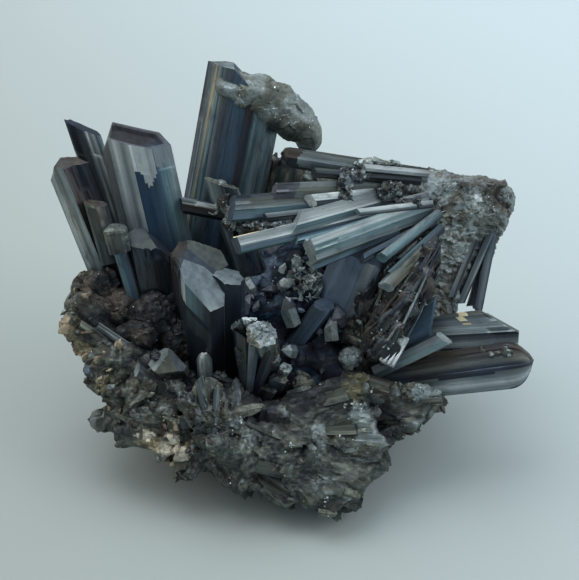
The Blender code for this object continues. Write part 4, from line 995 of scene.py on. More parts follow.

# the fan

# the w letters on the bars' upper and front faces are partly their bright fresh faces and partly painted
# highlight
fanCrystals = [
    dict(foot=(20.0, 16.5, 0.0), tip=(-1.0, 19.3, 4.0), width=3.2, thick=3.4, flare=0.9,
         ends=((0.15, -0.25, 0.0),), rounding=0.8, patches=((0.9, 1.0, 2, "o"), (0.9, 1.0, 1, "k")),
         tones="m mn nm m n d d", cap="k", ragged=0.3),
    dict(foot=(20.0, 15.2, 1.5), tip=(-2.2, 14.0, 6.0), width=2.5, thick=2.2,
         ends=((-0.3, -0.2, 0.0),), patches=((0.86, 1.0, 1, "p"), (0.86, 1.0, 2, "p")),
         tones="g nm mn nn n d d", cap="p"),
    dict(foot=(20.0, 14.2, 1.0), tip=(-8.2, 11.5, 6.5), width=3.8, thick=2.6,
         ends=((-0.2, -0.3, 0.0),), tones="t jt nmd dd n d d", cap="d"),
    dict(foot=(12.0, 13.8, 3.5), tip=(3.0, 12.6, 6.6), width=1.9, thick=2.0,
         ends=((0.5, -0.4, 0.0),), tones="d d nw wn n d d", cap="w"),
    dict(foot=(15.0, 13.4, 3.6), tip=(0.6, 9.2, 7.2), width=3.4, thick=2.2,
         ends=((-0.8, -0.3, 0.0),), tones="t nt wn nw n d d", cap="n"),
    dict(foot=(20.0, 13.0, 2.5), tip=(-7.4, 6.2, 8.6), width=2.8, thick=2.2, flare=0.92,
         ends=((0.1, -0.4, 0.0),), tones="t tjn wnw wy y d d", cap="d"),
    dict(foot=(20.0, 11.8, 3.0), tip=(2.9, 5.4, 9.6), width=3.6, thick=3.0,
         ends=((0.0, -0.15, 0.0),), tones="n nt ntnwt nj w d d", cap="n"),
    dict(foot=(21.5, 11.0, 3.5), tip=(13.0, 4.5, 8.0), width=1.6, thick=2.0,
         ends=((0.3, -0.2, 0.0),), tones="k dt tn n d d d", cap="t"),
    dict(foot=(22.0, 9.0, 3.0), tip=(14.2, 2.0, 6.2), width=1.5, thick=2.0,
         ends=((0.3, -0.2, 0.0),), tones="k kd dt m d d d", cap="d"),
    dict(foot=(15.5, 8.6, 5.5), tip=(3.0, 3.4, 6.6), width=1.6, thick=1.6,
         ends=((0.4, -0.2, 0.0),), tones="d jt nw w d d d", cap="w"),
    dict(foot=(30.0, 8.6, -0.6), tip=(25.4, -2.0, -0.6), width=1.3, thick=2.2,
         ends=((0.5, 0.0, 0.0),), tones="k kn nd k k k k", cap="n"),
    dict(foot=(30.6, 9.6, -1.4), tip=(28.0, -3.0, -0.8), width=1.5, thick=2.8,
         ends=((-0.6, 0.0, 0.0),), tones="d kd nd n d d d", cap="n"),
    dict(foot=(30.4, 8.0, -2.2), tip=(27.2, -2.4, -2.0), width=1.1, thick=2.0,
         ends=((0.4, 0.0, 0.0),), tones="k ko ok k k k k", cap="o"),
    dict(foot=(19.0, 13.2, 3.0), tip=(-3.4, 10.2, 6.8), width=1.3, thick=1.6,
         ends=((0.4, -0.2, 0.0),), tones="k dk dn d d d d", cap="d"),
    dict(foot=(18.0, 11.6, 4.2), tip=(1.0, 6.9, 7.8), width=1.2, thick=1.4,
         ends=((-0.4, -0.2, 0.0),), tones="k bk tb d d d d", cap="t"),
    dict(foot=(20.5, 12.4, 4.2), tip=(9.6, 10.9, 7.6), width=1.1, thick=1.2,
         ends=((0.6, -0.2, 0.0),), tones="d dn nw n d d d", cap="n"),
    dict(foot=(21.0, 10.0, 4.0), tip=(10.2, 4.4, 7.4), width=1.3, thick=1.4,
         ends=((-0.5, -0.2, 0.0),), tones="k dk bd d d d d", cap="d"),
    dict(foot=(19.0, 15.8, 3.0), tip=(3.6, 16.8, 5.4), width=1.4, thick=1.6,
         ends=((0.5, -0.2, 0.0),), tones="k ok dm n d d d", cap="d"),
    dict(foot=(28.2, 9.0, -0.4), tip=(23.9, -1.2, 0.4), width=1.2, thick=1.6,
         ends=((0.5, -0.2, 0.0),), tones="k dk mn n k k k", cap="n"),
    dict(foot=(20.0, 16.8, 3.6), tip=(10.6, 17.5, 5.2), width=1.1, thick=1.4,
         ends=((0.5, -0.2, 0.0),), tones="n ww ww wn n d d", cap="w")]
hubLumps = [
    ((20.0, 15.6, -1.0), (5.8, 3.2, 4.4)), ((27.5, 13.4, -2.0), (6.0, 3.7, 4.2)),
    ((24.0, 9.4, -0.5), (5.0, 4.4, 4.6)), ((29.6, 11.2, -3.2), (3.0, 3.4, 3.2)),
    ((31.4, 13.8, -3.0), (2.2, 1.9, 2.2)), ((22.8, -0.8, 1.8), (2.3, 7.8, 3.0)),
    ((27.6, 6.8, -2.6), (2.6, 3.4, 2.6)),
    ((25.0, 3.4, -1.8), (1.9, 3.6, 2.2)), ((29.0, 8.4, -0.9), (2.2, 4.0, 2.4)),
    ((16.6, 16.2, 2.0), (3.2, 1.8, 2.4))]
splinterLumps = [
    ((-9.8, 13.6, 0.9), (0.8, 2.4, 0.8)), ((-8.6, 10.4, 1.4), (1.2, 2.2, 0.9)),
    ((-7.0, 7.6, 2.2), (1.5, 1.8, 1.0)), ((-11.2, 11.8, 0.6), (0.8, 0.9, 0.8))]
fanCrustLumps = [
    ((7.9, 14.8, 5.0), (1.0, 2.8, 1.6)), ((14.4, 14.0, 4.8), (1.8, 1.5, 1.6)),
    ((10.0, 16.6, 3.9), (1.6, 0.8, 1.4)),
    ((17.6, 12.4, 4.6), (1.7, 0.8, 1.2)), ((-3.4, 8.9, 7.0), (2.8, 0.8, 1.1))]
shoulderLumps = [
    ((-7.8, 30.2, 0.0), (2.6, 2.2, 4.0)), ((-5.2, 29.2, -0.3), (3.2, 2.7, 4.2)),
    ((-2.2, 27.6, -1.0), (3.2, 2.6, 4.0)), ((0.9, 25.7, -1.8), (2.6, 2.5, 3.6)),
    ((2.9, 23.4, -2.4), (1.5, 1.9, 2.8))]
ridgeLumps = [
    ((13.0, -7.4, 4.4), (2.3, 2.6, 3.2)), ((14.6, -4.6, 4.6), (2.5, 3.0, 3.0)),
    ((16.4, -1.4, 4.6), (2.6, 3.2, 2.8)), ((18.4, 2.0, 4.2), (2.4, 3.4, 2.6)),
    ((20.0, 5.2, 3.4), (1.9, 2.6, 2.2)), ((12.6, -2.6, 1.6), (2.6, 2.6, 2.6)),
    ((16.0, 2.0, 2.2), (2.6, 2.8, 2.6))]
ridgeBlades = [
    dict(foot=(21.0, 7.5, 3.4), tip=(13.6, 0.4, 7.4), section=bladeSection, width=2.2, thick=2.0,
         ends=((0.4, -0.2, 0.0),), tones="k om mn n k k k", cap="n", relief=0.05, lath=0.4,
         seed=60),
    dict(foot=(11.0, -6.4, 0.0), tip=(19.0, 4.6, 4.2), section=bladeSection, width=2.8, thick=2.4,
         ends=((0.4, -0.2, 0.0),), tones="o ok kd dn d k k", relief=0.08, lath=0.4, seed=61),
    dict(foot=(15.8, -6.4, 2.4), tip=(14.2, -8.6, 8.0), section=prismSection, width=2.4, thick=2.4,
         ends=((0.2, -0.9, 0.0),), tones="d dp pd d d d d", cap="k", relief=0.03, seed=62)]
# three short blades at the foot of the ridge, coloured white: a painted highlight where they catch the light
glintBlades = [
    dict(foot=(13.0 + 0.6 * k, -10.0 - 0.3 * k, 8.4), tip=(15.4 + 0.6 * k, -6.8, 6.3),
         section=[(-0.5, -0.2), (0.3, 0.4), (0.5, -0.1), (0.0, -0.4)], tones="w", cap="w", steps=0,
         seed=63 + k)
    for k in range(3)]

fanBars = [crystal(section=barSection, seed=40 + k, **shape) for k, shape in enumerate(fanCrystals)]
addPiece("fan_blades", fanBars, barMaterial, "bright_prism", "crystal_fan", crease=0.2)
addPiece("ridge_blades", [crystal(**shape) for shape in ridgeBlades], alteredMaterial, "rough_stibnite",
         "broken_ridge", crease=0.2)


def skinTree(obj):
    points = [vertex.co / mm for vertex in obj.data.vertices]
    return BVHTree.FromPolygons(points, [tuple(face.vertices) for face in obj.data.polygons])


def laidLaths(tree, starts, startNormals, centre, longest, widest, letters, seed):
    # laths that hug a skin: each runs from its start along the ray from the growth centre, made tangent
    # to the skin, and its tip is brought back to the nearest point of the skin
    rng = np.random.default_rng(seed)
    rays = unit(starts - faceToRow(centre))
    tangent = unit(rays - startNormals * (rays * startNormals).sum(axis=1, keepdims=True)
                   + rng.normal(0.0, 0.05, rays.shape))
    reach = rng.uniform(0.3, 1.0, len(starts)) * longest
    far = starts + tangent * reach[:, None]
    tips = np.array([tree.find_nearest(Vector(spot))[0] for spot in far])
    along = tips - starts
    length = np.linalg.norm(along, axis=1)
    kept = (length > 1.2) & (tips[:, 2] > 1.2)
    starts, startNormals, along, length = starts[kept], startNormals[kept], along[kept], length[kept]
    width = rng.uniform(0.4, 1.0, len(starts)) * widest
    tint = letterColours(letters)[rng.integers(0, len(letters), len(starts))]
    return swarm(starts - startNormals * (0.16 * width)[:, None], unit(along), length, width, width * 0.75,
                 tint, seed + 1, blunt=0.55, waist=0.7)


def roughPiece(obj, material, slotName, node, **settings):
    surface = roughen(obj, node, **settings)
    placePiece(obj, material, slotName, node)
    return surface


hub = lumpSkin("fan_hub", hubLumps, 0.28)
hubPoints, hubNormals = roughPiece(
    hub, grainyMaterial, "bright_prism", "crystal_fan", centres=[(4.0, 7.0, 0.0)], usual=20.0, squeeze=0.6,
    sizes=(2.6, 0.9, 0.4), depths=(0.35, 0.24, 0.12), toneLetters="mnqnmonmqn", smoothing=14, puff=0.4,
    # the w mark at the upper right of the hub is a painted highlight
    stains=[(27.8, 13.6, 2.0, 1.1, "w"), (21.0, 15.6, 2.4, 2.0, "n"), (30.0, 9.0, 1.0, 3.0, "q")],
    cuts=[((14.0, 14.0, 4.0), (0.26, -0.05, 1.0)), ((24.0, 12.0, 1.2), (0.3, -0.1, 1.0)),
          ((27.0, 16.4, -1.0), (0.1, 1.0, 0.5)), ((34.0, 13.0, -2.0), (1.0, -0.2, 0.2))], mottle=0.4,
    perFacet=0.5, seed=300)
roughPiece(lumpSkin("fan_crust", fanCrustLumps, 0.2), gleamingMaterial, "bright_prism", "crystal_fan",
           centres=[(8.0, 12.0, 0.0)], usual=8.0, squeeze=1.0, sizes=(1.1, 0.5), depths=(0.45, 0.2),
           toneLetters="kodnkkmo", smoothing=2, puff=0.1, seed=320)
addPiece("centre_blocks", [crystal(**shape) for shape in centreBlocks], gleamingMaterial, "bright_prism",
         "broken_centre_crystal", crease=0.2)
roughPiece(lumpSkin("splinter_rough", splinterLumps, 0.18), gleamingMaterial, "bright_prism",
           "upright_splinter", centres=[(-6.0, 0.0, 1.0)], usual=12.0, squeeze=0.5, sizes=(1.3, 0.6),
           depths=(0.6, 0.2), toneLetters="mdnoqm", smoothing=1, puff=0.1, perFacet=0.9, seed=335)
roughPiece(lumpSkin("fan_silver", [((12.6, 18.0, 4.3), (3.6, 0.7, 1.1))], 0.15), gleamingMaterial,
           "bright_prism", "crystal_fan", centres=[(20.0, 16.0, 0.0)], usual=8.0, squeeze=0.4,
           sizes=(0.9, 0.4), depths=(0.5, 0.2), toneLetters="mnmnw", smoothing=1, perFacet=0.9, seed=325)
roughPiece(lumpSkin("shoulder_rough", shoulderLumps, 0.24), grainyMaterial, "blue_prism", "tall_crystal",
           centres=[(-14.0, 24.0, -3.0)], usual=12.0, squeeze=0.8, sizes=(2.6, 0.7), depths=(0.32, 0.12),
           toneLetters="mqmnmq", smoothing=26, puff=0.7, mottle=0.25, perFacet=0.15,
           cuts=[((-4.0, 27.0, 1.3), (0.1, -0.25, 1.0)), ((-6.5, 30.0, 1.0), (0.1, 0.75, 0.6)),
                 ((1.6, 25.6, 0.0), (0.5, 0.3, 0.8))], seed=340)
roughPiece(lumpSkin("fibrous_rough", fibrousLumps, 0.15), brokenMaterial, "bright_prism", "fibrous_blades",
           centres=[(-10.4, -21.4, 6.0)], usual=6.0, squeeze=0.2, sizes=(1.5, 0.6), depths=(0.6, 0.25),
           toneLetters="kqmdkmqomd", smoothing=3, puff=0.1, perFacet=0.75, mottle=0.3, seed=345)
ridge = lumpSkin("ridge_rough", ridgeLumps, 0.24)
ridgePoints, ridgeNormals = roughPiece(
    ridge, brokenMaterial, "rough_stibnite", "broken_ridge", centres=[(6.0, -16.0, 2.0)], usual=20.0,
    squeeze=0.1, sizes=(1.3, 0.5), depths=(0.6, 0.2), toneLetters="kkokdko", smoothing=12, puff=0.3,
    perFacet=0.8, seed=380)
pick = np.random.default_rng(310).integers(0, len(hubPoints), 60)
hubLaths = laidLaths(skinTree(hub), hubPoints[pick], hubNormals[pick], (4.0, 7.0, 0.0), 2.6, 0.5,
                     "mnmnmn", 311)
pick = np.random.default_rng(390).integers(0, len(ridgePoints), 150)
ridgeLaths = laidLaths(skinTree(ridge), ridgePoints[pick], ridgeNormals[pick], (6.0, -16.0, 2.0), 9.0, 0.9,
                       "okqmkdnkwk", 391)
addPiece("fan_laths", [hubLaths], grainyMaterial, "bright_prism", "crystal_fan")
pick = np.random.default_rng(395).integers(0, len(ridgePoints), 110)
rng = np.random.default_rng(396)
# small chips coloured near white: painted sparkles on the ridge
ridgeChips = setGrains(rng, ridgePoints[pick], ridgeNormals[pick], 0.5, (0.2, 0.5), 0.2, (0.8, 1.0, 0.6),
                       "wwn", 397, blunt=0.7)
addPiece("ridge_sparkles", [ridgeChips], gleamingMaterial, "rough_stibnite", "broken_ridge")
addPiece("ridge_glints", [crystal(**shape) for shape in glintBlades], softMaterial, "rough_stibnite",
         "broken_ridge")
addPiece("ridge_laths", [ridgeLaths], barMaterial, "rough_stibnite", "broken_ridge")
print("fan, shoulder and ridge are made")

# the massive stibnite

rockCentres = [(-9.0, -21.0, 0.0), (-2.0, -2.0, -16.0), (-16.0, -10.0, -6.0)]
# marks on the rock: the tan, olive, brown and grey ones are its own colour; the nearly black ones at the
# dents paint shade into the notch at the lower right and the small cavity, and the large nearly black ones
# darken broad patches
rockStainsAndShade = [
    (12.9, -16.8, 6.0, 1.7, "k"), (13.5, -19.0, 6.0, 2.1, "k"), (14.3, -20.9, 6.0, 1.4, "k"),
    (4.5, -27.3, 7.0, 1.0, "k"),
    (-23.0, -1.0, -2.0, 8.0, "k"), (-17.5, -6.5, 0.0, 7.5, "k"), (-29.0, 1.0, 0.5, 4.0, "o"),
    (-12.0, -14.0, 3.0, 5.0, "k"), (-3.5, -17.0, 5.0, 4.0, "k"), (3.5, -13.0, 4.0, 5.0, "k"),
    (-32.5, -5.5, 2.5, 2.2, "s"), (-29.6, -9.6, 4.0, 1.9, "s"), (-17.0, -21.0, 7.0, 2.2, "s"),
    (-20.5, -21.5, 6.0, 2.0, "s"), (-15.5, -23.0, 7.0, 1.8, "s"), (-27.0, -14.0, 4.0, 1.6, "s"),
    (9.0, -14.5, 6.0, 1.8, "l"), (-21.5, -18.5, 2.0, 2.2, "n"), (10.0, -17.5, 6.0, 1.6, "n")]
rock = nodeSkin("matrix_rock", "matrix", 0.4)
rockPoints, rockNormals = roughPiece(
    rock, brokenMaterial, "rough_stibnite", "matrix",
    centres=rockCentres, usual=18.0, squeeze=0.13, sizes=(3.8, 1.4, 0.6), depths=(1.0, 0.22, 0.1),
    toneLetters="kqomqkmqnmqo", stains=rockStainsAndShade,
    dents=[(13.0, -17.0, 6.0, 1.6, 1.6), (13.6, -19.2, 6.0, 1.9, 2.0), (4.5, -27.3, 7.0, 0.9, 1.2),
           (-4.5, -21.5, 6.0, 1.6, 1.2), (-2.4, -19.6, 6.0, 1.4, 1.0)], mottle=0.25, perFacet=0.5,
           smoothing=6, flatBelow=0.4, seed=400)

bladeTone = ["q mq qm mq q k k", "o qm oq qm q k k", "m qm mm qm q k k"]
# foot, tip, width, thickness and flare of each
matrixBlades = [
    ((-9.5, -20.5, 2.0), (9.5, -15.0, 4.5), 4.0, 4.5, 1.3),
    ((-8.0, -21.0, 3.0), (10.6, -20.0, 5.0), 5.0, 4.5, 1.3),
    ((-8.0, -21.5, 3.0), (13.6, -23.6, 5.0), 5.0, 4.5, 1.2),
    ((-8.0, -22.0, 3.5), (9.5, -29.0, 6.5), 5.0, 5.0, 1.2),
    ((-8.5, -22.0, 4.0), (7.0, -31.3, 7.8), 3.5, 4.0, 0.9),
    ((-10.0, -22.0, 4.0), (0.5, -29.5, 7.0), 4.5, 5.0, 0.9),
    ((-13.0, -21.0, 4.0), (-5.5, -28.0, 6.5), 5.0, 5.0, 0.9),
    ((-14.0, -19.0, 3.0), (-15.0, -26.5, 6.0), 5.0, 5.0, 0.8),
    ((-12.0, -18.0, 2.0), (-31.0, -5.0, 1.5), 3.6, 4.5, 0.8),
    ((-12.0, -18.5, 2.5), (-29.5, -12.0, 1.5), 3.4, 4.5, 0.8),
    ((-11.0, -20.0, 3.0), (-25.5, -21.0, 2.5), 4.0, 4.5, 0.8),
    ((9.0, -17.0, 2.0), (22.2, -15.8, 4.5), 3.4, 4.0, 0.7),
    ((9.0, -17.0, 2.0), (18.5, -19.6, 4.5), 3.4, 4.0, 0.7),
    ((8.0, -13.0, 2.0), (15.0, -14.6, 6.5), 4.0, 3.0, 0.9)]
crispBlades = [
    dict(foot=(-21.5, -19.5, 1.0), tip=(-28.3, -19.2, 1.6), section=prismSection, width=2.8, thick=2.8,
         ends=((0.3, -0.3, 0.0),), tones="d dn nd d d d d", cap="n", seed=70),
    dict(foot=(-21.8, -9.4, 3.2), tip=(-27.8, -5.2, 3.2), section=bladeSection, width=1.5, thick=1.6,
         flare=0.7, ends=((0.2, -0.3, 0.0),), tones="d kn nk n d d d", cap="d", lath=0.3, seed=71),
    dict(foot=(2.4, -25.6, 6.6), tip=(-10.6, -22.2, 9.6), section=bladeSection, width=4.2, thick=3.0,
         flare=0.85, ends=((0.6, -0.2, 0.0),), tones="q qm mm mq q q q", cap="q", relief=0.03, seed=72),
    dict(foot=(-17.2, -11.8, 1.0), tip=(-17.4, -9.8, 8.0),
         section=[(-2.8, -0.1), (-2.1, -1.6), (-0.2, -2.1), (0.8, -1.6), (2.8, 1.0), (2.4, 1.8), (-1.0, 1.9),
                  (-1.8, 1.4)],
         ends=((0.0, 0.1, 0.0), (0.9, 0.8, 0.28), (-0.7, 0.5, 0.5)), tones="q", cap="mnd", relief=0.01,
         steps=0, seed=75),
    dict(foot=(-12.2, -12.6, 3.2), tip=(-12.3, -9.1, 4.6), section=prismSection, width=2.2, thick=2.0,
         tones="n w n", cap="w", lath=0.5, relief=0.02, rounding=1.3, seed=76),
    dict(foot=(-16.6, -15.6, 4.6), tip=(-21.8, -11.4, 5.6), section=prismSection, width=1.9, thick=1.8,
         ends=((0.3, -0.4, 0.0),), tones="d pd dp d d d d", cap="n", seed=74)]
bladeParts = [crystal(foot, tip, bladeSection, width=0.8 * width, thick=0.85 * thick, flare=flare,
                      ends=((0.3, -0.4, 0.0),), tones=bladeTone[k % 3], cap="q", lath=0.4, relief=0.1,
                      steps=10, ragged=0.6, seed=80 + k)
              for k, (foot, tip, width, thick, flare) in enumerate(matrixBlades)]
addPiece("matrix_blades", bladeParts + [crystal(**shape) for shape in crispBlades], alteredMaterial,
         "rough_stibnite", "matrix", crease=0.2)


def dropped(tree, spots):
    # where lines square to the display face, through (right, up) spots, first meet a skin
    places, normals = [], []
    inward = Vector(-faceAxes[2])
    for right, up in spots:
        place, normal, _, _ = tree.ray_cast(Vector(faceToRow((right, up, 40.0))), inward)
        if place is not None:
            places.append(place)
            normals.append(normal)
    return np.array(places), np.array(normals)


footCrust = [
    ((-20.2, -3.8, 0.2), (3.6, 3.0, 2.1)), ((-24.8, -2.6, 0.2), (2.8, 2.8, 1.7)),
    ((-16.8, -7.0, 0.2), (2.4, 3.0, 2.1)),
    ((-22.4, -6.6, 1.8), (2.8, 1.8, 1.4)), ((-27.2, 1.0, 0.2), (1.8, 2.2, 1.6)),
    ((-17.6, -1.6, -1.6), (1.8, 3.0, 2.0))]
# a low brown crust at the feet of the left crystals
roughPiece(
    lumpSkin("matrix_foot_crust", footCrust, 0.26), brokenMaterial, "rough_stibnite", "matrix",
    centres=[(-20.0, -12.0, -4.0)], usual=10.0, squeeze=0.5,
    sizes=(3.2, 1.1, 0.5), depths=(0.8, 0.3, 0.14), toneLetters="kkokkokd", smoothing=20, puff=0.35,
    stains=[(-25.5, -2.0, 2.0, 3.2, "o"), (-16.5, -4.5, 1.0, 3.6, "k"), (-21.5, -6.5, 3.0, 1.6, "o")],
    perFacet=0.7, mottle=0.5, seed=450)
rockTree = skinTree(rock)

pick = np.random.default_rng(500).integers(0, len(rockPoints), 260)
starts, startNormals = rockPoints[pick], rockNormals[pick]
onFace = rowToFace(starts)
# the laths keep clear of the dark notch at the lower right, and of the lowest part of the rock
clear = np.linalg.norm(onFace[:, :2] - (13.4, -18.6), axis=1) > 3.2
front = clear & (startNormals @ faceAxes[2] > -0.2) & (onFace[:, 1] < -12.0) & (starts[:, 2] > 2.0)
aside = clear & ~front & (startNormals @ faceAxes[2] < 0.3) & (starts[:, 2] > 2.0)
frontLaths = laidLaths(rockTree, starts[front], startNormals[front], (-9.0, -20.5, 1.0), 10.0, 2.2,
                       "mqmqqd", 501)
sideLaths = laidLaths(rockTree, starts[aside], startNormals[aside], (-2.0, -4.0, -12.0), 6.0, 1.6,
                      "qmomkqom", 503)
addPiece("matrix_laths", [frontLaths, sideLaths], brokenMaterial, "rough_stibnite", "matrix")
print("massive stibnite is made")

# druse on the rim and in the hollow

# blunt rounded grains along the rim: place, half sizes, letter
rimGrains = [
    ((-10.4, -12.5, 2.8), (0.5, 0.9, 0.6), "n"),
    ((-21.1, -19.6, 6.2), (1.1, 0.9, 0.9), "s"), ((-20.0, -20.7, 6.3), (1.1, 0.9, 0.9), "c"),
    ((-18.9, -21.9, 6.3), (1.1, 0.9, 0.9), "s"), ((-17.6, -22.7, 6.4), (1.1, 0.8, 0.9), "c"),
    ((-16.5, -20.9, 6.7), (1.2, 0.7, 0.9), "c"), ((-15.5, -18.9, 7.2), (1.1, 1.0, 1.0), "d"),
    ((-15.0, -22.8, 7.0), (1.4, 0.9, 1.0), "c"), ((-13.2, -22.1, 7.9), (0.5, 0.95, 0.6), "n"),
    ((-16.5, -17.9, 7.2), (0.8, 1.0, 0.8), "s"), ((-18.2, -19.6, 6.2), (1.1, 1.0, 0.9), "o"),
    ((-28.3, -11.7, 2.6), (1.5, 1.2, 1.2), "j"), ((-25.7, -13.6, 4.0), (1.7, 1.5, 1.3), "l"),
    ((-24.4, -12.2, 4.2), (1.0, 0.9, 1.0), "m"), ((-30.0, -8.2, 1.8), (1.7, 1.3, 1.4), "s"),
    ((-27.4, -9.0, 2.9), (1.5, 1.1, 1.1), "m"), ((-32.1, -5.3, 1.4), (1.1, 1.7, 1.3), "s"),
    ((-30.8, -7.0, 1.6), (1.1, 1.2, 1.1), "l"), ((-31.6, -2.6, 1.4), (0.9, 1.2, 0.9), "m"),
    ((-24.3, -15.8, 4.3), (1.3, 1.2, 1.0), "q"), ((-22.7, -17.8, 5.3), (1.2, 1.1, 1.0), "o"),
    ((-26.6, -11.4, 3.6), (0.9, 0.7, 0.8), "s"), ((-28.9, -9.9, 2.6), (0.9, 0.8, 0.9), "l"),
    ((8.9, -9.8, 3.2), (1.6, 1.15, 1.2), "n"), ((9.5, -13.2, 5.0), (1.8, 1.5, 1.4), "l"),
    ((1.9, -13.5, 3.4), (1.2, 1.5, 1.1), "m"), ((-2.2, -25.0, 8.4), (0.8, 0.45, 0.6), "s"),
    ((7.1, -27.4, 7.0), (1.0, 1.0, 0.8), "o"), ((10.6, -22.1, 6.4), (2.4, 1.6, 1.2), "m"),
    ((17.4, -15.0, 4.6), (2.6, 1.4, 1.4), "m"), ((20.0, -15.4, 4.2), (2.2, 1.3, 1.3), "n"),
    ((16.2, -17.2, 4.2), (1.7, 1.8, 1.4), "m"), ((15.6, -20.0, 4.0), (1.2, 1.5, 1.2), "q")]
rimDruse = [
    ((-31.5, -4.5, 2.5), 0.7), ((-28.5, -9.5, 4.5), 0.5), ((-30.0, -1.0, 2.0), 0.6),
    ((-16.0, -19.2, 7.8), 0.5), ((-17.4, -21.0, 7.2), 0.4), ((-21.4, -19.8, 6.4), 0.4),
    ((-25.5, -14.0, 5.0), 0.5), ((-27.5, -13.0, 4.0), 0.5), ((-18.6, -24.0, 6.6), 0.5),
    ((-12.6, -21.0, 8.6), 0.4), ((-22.6, -16.0, 5.6), 0.5), ((-9.6, -12.6, 3.0), 0.5)]
# bright cleavage chips in small groups, coloured near white as painted sparkles: place and how many
sparkles = [
    ((8.0, -15.9), 12), ((9.2, -16.4), 10), ((10.2, -16.9), 8), ((7.1, -20.7), 4), ((0.3, -21.8), 6),
    ((-7.3, -18.2), 3), ((5.0, -29.0), 8), ((12.0, -14.0), 6), ((14.0, -13.4), 5), ((-8.0, -20.2), 4)]
hollowDruse = [
    ((-6.0, 0.7, -2.4), 1.1), ((-0.7, 1.0, -2.0), 1.1), ((0.8, 3.8, -2.0), 0.8), ((-1.0, 3.2, -2.2), 0.6),
    ((0.2, -3.7, -1.0), 1.8), ((0.0, -2.0, -1.0), 0.8), ((7.3, -4.1, -1.0), 1.4), ((6.4, -6.2, -0.8), 1.3),
    ((4.5, -6.2, -1.4), 0.6), ((-0.2, -9.0, 0.6), 1.3), ((-6.5, -2.4, -2.4), 1.2), ((-4.6, -2.2, -2.8), 1.2),
    ((10.2, -0.4, 1.0), 0.5), ((13.2, 1.2, 1.6), 0.5), ((11.0, -5.0, 0.4), 0.8), ((8.8, 0.2, 0.4), 0.4)]


def pointedGrains(centres, sizes, tint, seed, lean=0.5):
    # short pointed crystals that stand up and out of the display face, foot sunk below each centre
    rng = np.random.default_rng(seed)
    centres = faceToRow(centres)
    along = unit(0.6 * faceAxes[2] + 0.75 * faceAxes[1] + rng.normal(0.0, lean, centres.shape))
    length = sizes * rng.uniform(2.0, 2.8, len(sizes))
    return swarm(centres - along * (length * 0.4)[:, None], along, length, sizes * 2.0, sizes * 1.6,
                 tint, seed + 1, blunt=0.25, waist=0.6)


def scattered(tree, centres, spread, each, seed):
    # small grains dropped round each centre onto a skin
    rng = np.random.default_rng(seed)
    middles = np.repeat(np.array(centres)[:, :2], each, axis=0)
    return dropped(tree, middles + rng.normal(0.0, spread, middles.shape))


def letterTints(letters, count, seed):
    return letterColours(letters)[np.random.default_rng(seed).integers(0, len(letters), count)]


rimCentres = np.array([centre for centre, _ in rimDruse])
rimSizes = np.array([size for _, size in rimDruse])
rimBig = pointedGrains(rimCentres, rimSizes, letterTints("nmsnmq", len(rimSizes), 510), 511)
places, normals = scattered(rockTree, rimCentres, 2.0, 5, 512)
rng = np.random.default_rng(513)
rimSmall = setGrains(rng, places, normals, 0.35, (0.35, 1.0), 0.4, (1.5, 1.2, 1.0), "somdsom", 515,
                     np.random.default_rng(514), blunt=0.2)
addPiece("matrix_druse", [rimBig, rimSmall], druseMaterial, "rough_stibnite", "matrix")
grainLumps = [((right, up, outOf - 0.35), (1.1 * wide, 1.1 * tall, 0.9 * deep))
              for (right, up, outOf), (wide, tall, deep), _ in rimGrains]
grainStains = [(*place, 1.3 * max(radii), letter) for place, radii, letter in rimGrains]
roughPiece(lumpSkin("matrix_grains", grainLumps, 0.17), grainyMaterial, "rough_stibnite", "matrix",
           centres=[(-18.0, -14.0, 0.0)], usual=5.0, squeeze=1.0, sizes=(1.5, 0.6), depths=(0.6, 0.18),
           toneLetters="mq", stains=grainStains, smoothing=1, mottle=0.3, seed=430)
spots = np.repeat(np.array([place for place, _ in sparkles]), [count for _, count in sparkles], axis=0)
places, normals = dropped(rockTree, spots + rng.normal(0.0, 0.4, spots.shape))
chips = setGrains(rng, places, normals, 0.5, (0.2, 0.5), 0.2, (0.8, 1.0, 0.7), "wwwn", 517,
                  np.random.default_rng(516), blunt=0.7)
addPiece("matrix_sparkles", [chips], gleamingMaterial, "rough_stibnite", "matrix")

crust = nodeSkin("hollow_crust", "hollow_druse", 0.3)
roughPiece(crust, grainyMaterial, "druse", "hollow_druse", centres=[(0.0, -8.0, -14.0)], usual=9.0,
           squeeze=0.7, sizes=(3.0, 1.2), depths=(0.4, 0.1), toneLetters="kvuvkbv",
           # painted light: the pale steel-blue mark lightens the crust where the bars above shade it
           stains=[(-5.8, 2.8, -2.0, 4.0, "j")], smoothing=6, mottle=0.5, seed=440)
crustTree = skinTree(crust)
bigCentres = np.array([centre for centre, _ in hollowDruse])
bigSizes = np.array([size for _, size in hollowDruse])
hollowBig = pointedGrains(bigCentres, bigSizes, letterTints("rwnj", len(bigSizes), 520), 521, lean=0.6)
places, normals = scattered(crustTree, bigCentres, 3.0, 2, 522)
rng = np.random.default_rng(523)
hollowSmall = setGrains(rng, places, normals, 0.4, (0.6, 1.4), 0.7, (2.2, 1.2, 0.9), "rpjdvuk", 525,
                        np.random.default_rng(524), blunt=0.08, waist=0.5)
# a sheaf of bright flakes that lean to the upper right
sheaf = [(3.0, 1.4), (3.8, -0.4), (1.8, 2.4), (4.6, 1.0), (1.2, 0.6)]
places, normals = scattered(crustTree, sheaf, 0.9, 26, 526)
lean = 0.7 * faceAxes[2] + 0.55 * faceAxes[1] + 0.35 * faceAxes[0]
flakes = setGrains(rng, places, lean, 0.5, (0.5, 1.0), 0.8, (2.3, 1.3, 0.5), "wwnkw", 528,
                   np.random.default_rng(527), blunt=0.5, waist=0.7)
addPiece("hollow_flakes", [flakes], druseMaterial, "druse", "hollow_druse")
addPiece("hollow_teeth", [hollowBig, hollowSmall], druseMaterial, "druse", "hollow_druse")
print("druse is made")

# floor, light and camera

studio = dict(floorHalf=3.0, floorColour="#c8d7dd", sky="#dfe8ec", skyStrength=0.70, shade="#89959c")


